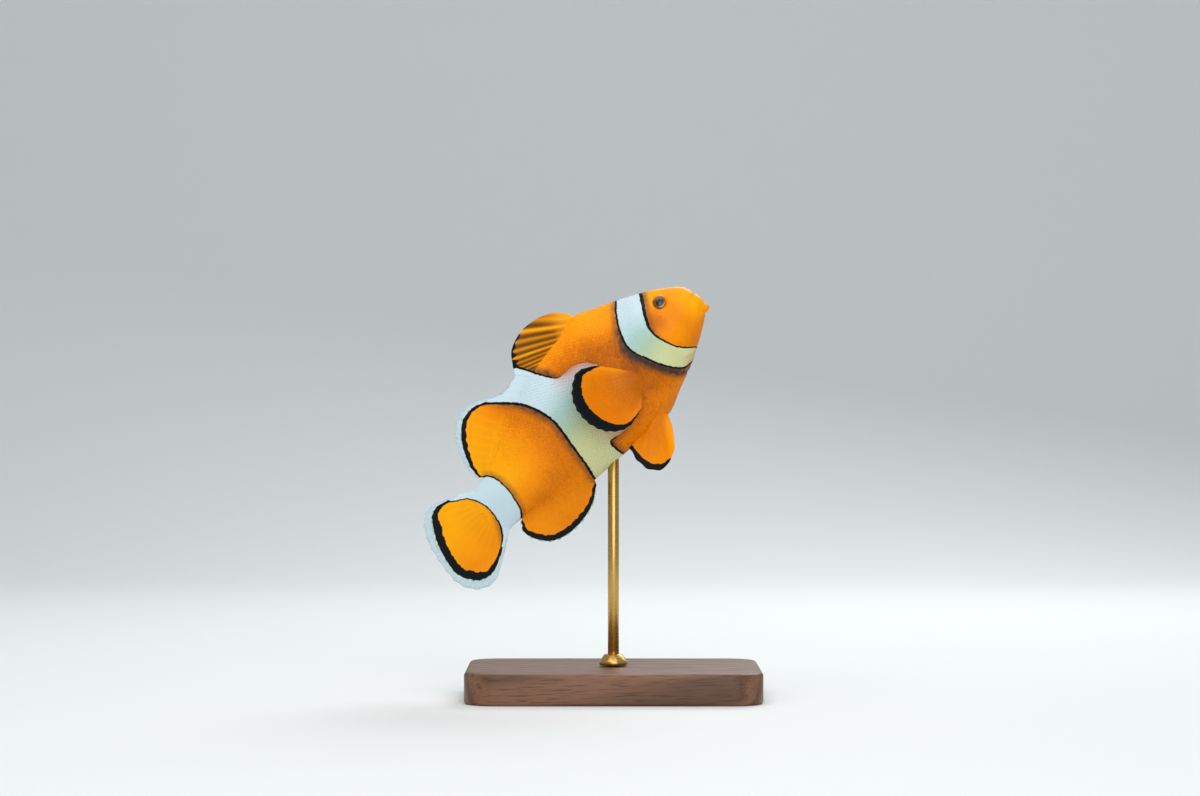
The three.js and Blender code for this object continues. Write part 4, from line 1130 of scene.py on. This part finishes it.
def scaleShell(surface, fieldsOf, rootP, rootQ, lengthP, halfQ, mapPlace, sink, liftShare):
    # every plate at once: its grid's points are places p and q on the surface, lifted from root to rear
    # edge by a share of the full lift, less sink, by which plates at the coat's ends go under
    wide, rear, a, b, loop, faces = plate()
    wide, rear, a, b = (x.ravel() for x in (wide, rear, a, b))
    count = len(rootP)

    def shell(values):
        # the top's values, and those of its edge for the underside
        return np.concatenate([values, values[..., loop]], -1)

    p = rootP[:, None] + lengthP[:, None] * rear
    q = rootQ[:, None] + halfQ[:, None] * wide
    span = scaleForm["rear"] - scaleForm["root"]
    wear = chance.uniform(-scaleForm["wear"], scaleForm["wear"], (count, 1))
    lift = scaleForm["root"] + span * b - scaleForm["crown"] * a**2 + wear * b
    lift = lift * liftShare[:, None] - sink[:, None]
    top = surface(p, q, lift)
    under = surface(p[:, loop], q[:, loop], lift[:, loop] - scaleForm["thick"])
    points = np.concatenate([top, under], 1)
    jitter = chance.normal(0, scaleForm["jitter"], (count, 1))
    toneJitter = chance.normal(0, scaleForm["jitter"], (count, 1))
    edge = shell(b) * chance.uniform(0.82, 1.04, (count, 1))  # share of the way to the rear edge, uneven
    offsets = np.arange(count)[:, None, None] * points.shape[1]
    local = np.stack([shell(rear) - 0.5, shell(wide) * 0.5], -1) * unwrap["patch"]
    uv = mapPlace[:, None, :] + local[None]
    return {
        "points": toWorld(points).reshape(-1, 3),
        "faces": [(face[None] + offsets).reshape(-1, face.shape[1]) for face in faces],
        "uvs": [uv[:, face].reshape(-1, face.shape[1], 2) for face in faces],
        "fields": fieldsOf(shell(p), shell(q), points, jitter, toneJitter, edge),
        "flat": (1, 2),
    }


def bodyScales(scaleSize, allowed):
    # columns of plates from the tail forwards, each column shifted by half a row, with as many rows all
    # the way. Gives the roots' places along and round the body, the plates' lengths and half widths, and
    # shares of the turn.
    rows = round(scaleForm["rows"] / scaleSize)
    fine = np.linspace(0, bodyLength, 4000)
    s, top, bottom, half = (curve(fine) for curve in bodyCurves[:4])
    girth = math.pi * (half + (top - bottom) / 2) * 1.02
    gap = np.maximum(scaleForm["leastColumn"], scaleForm["column"] * girth / rows)
    travelled = np.hypot(np.diff(s), 0.5 * np.diff(top - bottom) / 2)
    travelled = np.concatenate([[0], np.cumsum(travelled)])
    count = np.concatenate([[0], np.cumsum(np.diff(travelled) / gap[1:])])
    along = np.interp(np.arange(2, int(count[-1])), count, fine)
    column, row = np.meshgrid(np.arange(len(along)), np.arange(rows), indexing="ij")
    spacing = np.gradient(along)[column].ravel()
    turn = (((row + 0.5 * (column % 2)) / rows) % 1.0).ravel()
    p = along[column].ravel()
    p = p + chance.normal(0, 0.04, p.shape) * spacing
    q = flankAngle(turn)
    crowding = 1 - 2 * bodyForm["flankCrowding"] * np.cos(2 * (-math.pi / 2 + 2 * math.pi * turn))
    halfQ = scaleForm["halfWidth"] * (2 * math.pi / rows) * crowding
    lengthP = -scaleForm["length"] * spacing
    keep = allowed(bodyOval(p, q), bodyOval(np.maximum(p + lengthP, 0), q))
    return [x[keep] for x in (p, q, lengthP, halfQ, turn)]


def onTrunk(root, tip):
    # behind the gill cover, and off the tail's fin
    return (root[..., 0] < gillLine(root[..., 1]) + 0.1) & (tip[..., 0] > 17.0)


def toFace(place):
    # how far ahead of the naked face's edge
    return place[..., 0] - np.interp(place[..., 1], *zip(*scaleForm["faceLine"]))


def onHead(root, tip):
    # from the gill cover's edge to the naked face. Above and below the cover they run on over the trunk's
    # first ones.
    overlap = 1.1 * (smoothstep(9.5, 12, tip[..., 1]) + smoothstep(-7.5, -9, tip[..., 1]))
    return (tip[..., 0] > gillLine(tip[..., 1]) + 0.05 - overlap) & (toFace(root) < 0)


def standing(place):
    # the share of the full lift: most where the scales show most, least near the pectoral fin's base,
    # whose distance is taken from the line between the base's ends
    top, bottom = (np.array(end) for end in fins["pectoral"]["roots"])
    along = np.clip(((place[:, :2] - top) @ (bottom - top)) / ((bottom - top) ** 2).sum(), 0, 1)
    away = np.linalg.norm(place[:, :2] - top - along[:, None] * (bottom - top), axis=1)
    shown = 0.35 + 0.65 * speckleAt(place[:, 0], place[:, 1])
    return shown * (0.2 + 0.8 * smoothstep(*scaleForm["bare"], away))


def bodyScalePiece(name, plates, sink, liftShare):
    # one piece of the body's scales, whose fields are the body's own
    p, q, lengthP, halfQ, turn = plates
    mapPlace = chartPlace(unwrap["body"], p / bodyLength, turn)
    shell = scaleShell(
        bodySkin, lambda p, q, *rest: bodyFields(*rest), p, q, lengthP, halfQ, mapPlace, sink, liftShare)
    makePiece(name, [shell], [skinWet])


trunkPlates = bodyScales(1.0, onTrunk)
order = np.argsort(trunkPlates[0], kind="stable")
trunkParts = ["tail", "rear", "middle", "flank", "shoulder"]
for number, part in enumerate(trunkParts):
    first, end = (k * len(order) // len(trunkParts) for k in (number, number + 1))
    plates = [x[order[first:end]] for x in trunkPlates]
    share = standing(bodyOval(*plates[:2]))
    bodyScalePiece(f"scales_{part}", plates, np.zeros(len(share)), share)

plates = bodyScales(scaleForm["headShare"], onHead)
flatter = smoothstep(-5.5, 0, toFace(bodyOval(*plates[:2])))  # towards the face
bodyScalePiece("scales_head", plates, 0.025 * flatter, 0.5 - 0.4 * flatter)

# Small scales on the fins' bases: plates across a row, rows, and in mm where they start and how far apart
# rows are.
finScales = {"caudal": (30, 4, 0.2, 0.5), "softDorsal": (52, 8, -1.9, 0.5), "anal": (42, 7, -1.9, 0.5)}


def finScaleShell(key, number):
    # rows of plates on one face of a fin, each row shifted by half a plate, smaller and flatter further
    # out
    fin, face = fins[key], (1, -1)[number]
    across, rows, start, spacing = finScales[key]
    row, place = np.meshgrid(np.arange(rows), np.arange(across), indexing="ij")
    row = row.ravel()
    q = 0.015 + 0.97 * ((place.ravel() + 0.25 + 0.5 * (row % 2)) / across)
    length = rayEnds(fin, q)[2]
    p = (start + spacing * row) / length
    size = 1 - 0.07 * row
    outward = row / (rows - 1)

    def surface(p, q, lift):
        # the fin's face, whose ends the plates don't pass
        return finSkin(fin, 1, face, np.clip(q, 0, 1), np.minimum(p, 1), lift)

    def fieldsOf(p, q, points, jitter, toneJitter, edge):
        # the fin's own, with fainter ticks and no rays or clear edge
        fields = finFields(fin, np.clip(q, 0, 1), np.minimum(p, 1), jitter, toneJitter, edge)
        fields["fin"] = fields["fin"] * [0, 0.3, 0]
        return fields

    halfQ = scaleForm["halfWidth"] / across * size
    lengthP = scaleForm["length"] * spacing / length * size
    mapPlace = chartPlace(unwrap[key][number], q, np.clip(p, 0, 1))
    return scaleShell(
        surface, fieldsOf, p, q, lengthP, halfQ, mapPlace, 0.01 * outward**2, 0.3 - 0.26 * outward)


shells = [finScaleShell(key, number) for key in finScales for number in range(2)]
makePiece("scales_fins", shells, [skinWet])

# The display stand.
standForm = {
    "length": 66.0, "width": 46.0, "thick": 7.0, "corner": 7.0, "bevel": 0.8, "bevelSteps": 6,
    "insets": [18.0, 12.0, 6.0, 2.0],  # of the rings on the plinth's underside and top
    "rodRadius": 1.25, "rodFloor": 3.3, "rodChamfer": 0.2,
    "collarRadius": 3.2, "collarTop": 2.0, "collarFoot": 7.3, "collarHeight": 2.4, "collarRim": 1.0,
    "collarBore": 1.35, "collarChamfer": 0.15, "collarTopChamfer": 0.1,
}


def roundedOutline(length, width, corner, perCorner=24):
    # four quarter circles, joined by the straight sides
    turn = np.linspace(0, math.pi / 2, perCorner)
    parts = []
    for number, (cx, cy) in enumerate([(1, 1), (-1, 1), (-1, -1), (1, -1)]):
        angle = turn + number * math.pi / 2
        middle = np.array([cx * (length / 2 - corner), cy * (width / 2 - corner)])
        parts.append(middle + corner * np.stack([np.cos(angle), np.sin(angle)], -1))
    return np.concatenate(parts)


def ringShell(rings):
    # closed rings joined in order, [ring, point], with a pole in the middle of the first and of the last
    points = np.concatenate([rings.reshape(-1, 3), rings[[0, -1]].mean(1)]) * mm
    return {"points": points, "faces": tubeFaces(*rings.shape[:2])}


def plinthShell():
    # the outline carried along a profile of (inset, height), whose edges are quarter circles of the
    # bevel's radius
    length, width, thick = (standForm[key] for key in ("length", "width", "thick"))
    corner, bevel = standForm["corner"], standForm["bevel"]
    quarter = np.linspace(0, math.pi / 2, standForm["bevelSteps"] + 1)
    low = [(bevel * (1 - math.sin(a)), bevel * (1 - math.cos(a))) for a in quarter]
    low = [(inset, 0.0) for inset in standForm["insets"]] + low
    high = [(inset, thick - z) for inset, z in reversed(low)]
    rings = []
    for inset, z in low + high:
        outline = roundedOutline(length - 2 * inset, width - 2 * inset, max(0.5, corner - inset))
        rings.append(np.concatenate([outline, np.full((len(outline), 1), z)], 1))
    return ringShell(np.array(rings))


def lathed(profile, around=64):
    # a profile of (radius, height) turned about the rod's axis
    turn = 2 * math.pi * np.arange(around) / around
    radius, z = np.array(profile, float).T[:, :, None]
    return ringShell(np.stack(np.broadcast_arrays(radius * np.cos(turn), radius * np.sin(turn), z), -1))


def woodFinish():
    # Walnut, planed and oiled: brown heartwood with darker growth rings and short pores, under a low
    # satin sheen
    finish, tree, shader = startFinish("oiledWalnut")
    place = addNode(tree, "TexCoord", out="Object")
    turned = addNode(tree, "Mapping", {  # the plank's rings, cut at a slant, with their middle beside it
        "Vector": place, "Rotation": (0.5, 0.0, 0.06), "Location": (0.0, 0.031, 0.0),
    })
    along = addNode(tree, "Mapping", {"Vector": turned, "Scale": (0.1, 1.0, 1.0)})
    warp = addNode(tree, "TexNoise", {"Vector": along, "Scale": 1 / (11 * mm), "Detail": 2.0}, out="Color")
    bent = addNode(tree, "VectorMath", {0: warp, 1: (8 * mm,) * 3, 2: along}, operation="MULTIPLY_ADD")
    rings = addNode(tree, "TexWave", {
        "Vector": bent, "Scale": 2 * math.pi / (20 * 4.5 * mm), "Distortion": 1.5, "Detail": 2.0,
        "Detail Scale": 2.0,
    }, bands_direction="Y", out="Fac")  # growth rings about 4.5 mm apart
    fibre = addNode(tree, "Mapping", {"Vector": turned, "Scale": (0.05, 1.0, 1.0)})
    pore = addNode(tree, "TexNoise", {"Vector": fibre, "Scale": 1 / (0.4 * mm), "Detail": 2.0})
    tones = addNode(tree, "ValToRGB", {0: rings}, stops=[(0.1, "#5a3822"), (0.9, "#7b5236")])
    poreDark = addNode(tree, "MapRange", {0: pore, 1: 0.52, 2: 0.7, 3: 0.0, 4: 0.7})
    relief = {"Strength": 0.3, "Distance": 0.05 * mm, "Height": poreDark}
    feed(tree, shader, {
        "Base Color": addNode(tree, "Mix", {0: poreDark, 6: tones, 7: linear("#3a2414")}, **colourMix),
        "Roughness": addNode(tree, "MapRange", {0: pore, 1: 0.3, 2: 0.7, 3: 0.36, 4: 0.55}),
        "Normal": addNode(tree, "Bump", relief, invert=True),
    })
    return finish


def brassFinish():
    # Brass, turned and brushed round its axis: warm yellow metal with fine rings that stretch the
    # highlight
    finish, tree, shader = startFinish("turnedBrass")
    place = addNode(tree, "TexCoord", out="Object")
    lines = addNode(tree, "Mapping", {"Vector": place, "Scale": (0.02, 0.02, 1.0)})
    brushed = addNode(tree, "TexNoise", {"Vector": lines, "Scale": 1 / (0.12 * mm), "Detail": 2.0})
    feed(tree, shader, {
        "Base Color": linear("#c9a25a"),
        "Metallic": 1.0,
        "Roughness": addNode(tree, "MapRange", {0: brushed, 1: 0.3, 2: 0.7, 3: 0.22, 4: 0.36}),
        "Normal": addNode(tree, "Bump", {"Strength": 0.2, "Distance": 0.01 * mm, "Height": brushed}),
    })
    return finish


walnut, brass = woodFinish(), brassFinish()
makePiece("stand_plinth", [plinthShell()], [walnut], ["stand_base"])
rod, bottom, chamfer = (standForm[key] for key in ("rodRadius", "rodFloor", "rodChamfer"))
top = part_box("stand_rod")[1].z / mm
rodProfile = [(rod - chamfer, bottom), (rod, bottom + chamfer), (rod, top - chamfer), (rod - chamfer, top)]
makePiece("stand_post", [lathed(rodProfile)], [brass], ["stand_rod"])
bore, collar, neck = (standForm[key] for key in ("collarBore", "collarRadius", "collarTop"))
chamfer, topChamfer = standForm["collarChamfer"], standForm["collarTopChamfer"]
foot = standForm["collarFoot"]
rim, top = foot + standForm["collarRim"], foot + standForm["collarHeight"]
collarProfile = [
    (bore, foot), (collar - chamfer, foot), (collar, foot + chamfer), (collar, rim - chamfer),
    (collar - chamfer, rim), (neck + topChamfer, top - topChamfer), (neck - topChamfer, top), (bore, top),
]
makePiece("stand_ferrule", [lathed(collarProfile)], [brass], ["stand_collar"])

# Floor, light and camera.
studio = {
    "floorColour": "#e8eced", "halfWidth": 1.6, "front": -1.2, "bendAt": 0.45, "bend": 0.5, "wall": 1.6,
    "worldColour": "#eaf0f3", "worldStrength": 0.46,
    # lights: name, place, target, size, watts, colour, in metres
    "lights": [
        ("overhead", (-0.08, -0.22, 0.62), (0.0, 0.0, 0.06), 0.5, 1.9, "#fff8f0"),
        ("front", (0.1, -0.78, 0.33), (0.0, 0.0, 0.06), 0.6, 2.9, "#f8faff"),
        ("behind", (0.15, 0.4, 0.42), (0.0, 0.0, 0.08), 0.35, 1.5, "#ffffff"),
    ],
    "cameraPlace": (-3.01 * mm, -750 * mm, 67.36 * mm), "frameWidth": 270.2 * mm, "sensor": 36.0,
}


def floorMesh():
    # a strip: flat, then a quarter circle, then upright
    bend = studio["bend"]
    quarter = np.linspace(0, math.pi / 2, 40)
    bendAt = studio["bendAt"]
    y = np.concatenate([[studio["front"]], bendAt + bend * np.sin(quarter), [bendAt + bend]])
    z = np.concatenate([[0], bend - bend * np.cos(quarter), [studio["wall"]]])
    x = np.array([-1, 1]) * studio["halfWidth"]
    points = np.stack(np.broadcast_arrays(x[:, None], y, z), -1).reshape(-1, 3)
    mesh = bpy.data.meshes.new("floor")
    numbers = np.arange(2 * len(y)).reshape(2, -1)
    mesh.from_pydata(points.tolist(), [], gridFaces(numbers).tolist())
    mesh.polygons.foreach_set("use_smooth", np.ones(len(mesh.polygons), bool))
    return mesh


floor = bpy.data.objects.new("floor", floorMesh())
paper, tree, shader = startFinish("matPaper")  # a pale roll of paper, without gloss
feed(tree, shader, {"Base Color": linear(studio["floorColour"]), "Roughness": 0.9})
floor.data.materials.append(paper)
scene.collection.objects.link(floor)

for name, place, target, size, watts, colour in studio["lights"]:
    light = bpy.data.lights.new(name, "AREA")
    light.size = size
    light.energy = watts
    light.color = linear(colour)[:3]
    lamp = bpy.data.objects.new(name, light)
    lamp.location = place
    lamp.rotation_euler = (Vector(target) - Vector(place)).to_track_quat("-Z", "Y").to_euler()
    scene.collection.objects.link(lamp)

world = bpy.data.worlds.new("studio")
world.use_nodes = True
feed(world.node_tree, world.node_tree.nodes["Background"], {
    "Color": linear(studio["worldColour"]), "Strength": studio["worldStrength"],
})
scene.world = world
scene.view_settings.view_transform = "Standard"

camera = bpy.data.objects.new("camera", bpy.data.cameras.new("camera"))
camera.location = studio["cameraPlace"]
camera.rotation_euler = (math.pi / 2, 0, 0)  # level, along +Y
camera.data.sensor_width = studio["sensor"]
camera.data.lens = studio["sensor"] * abs(studio["cameraPlace"][1]) / studio["frameWidth"]
camera.data.clip_end = 10
scene.collection.objects.link(camera)
scene.camera = camera
print(f"studio: floor, {len(studio['lights'])} lights and camera")
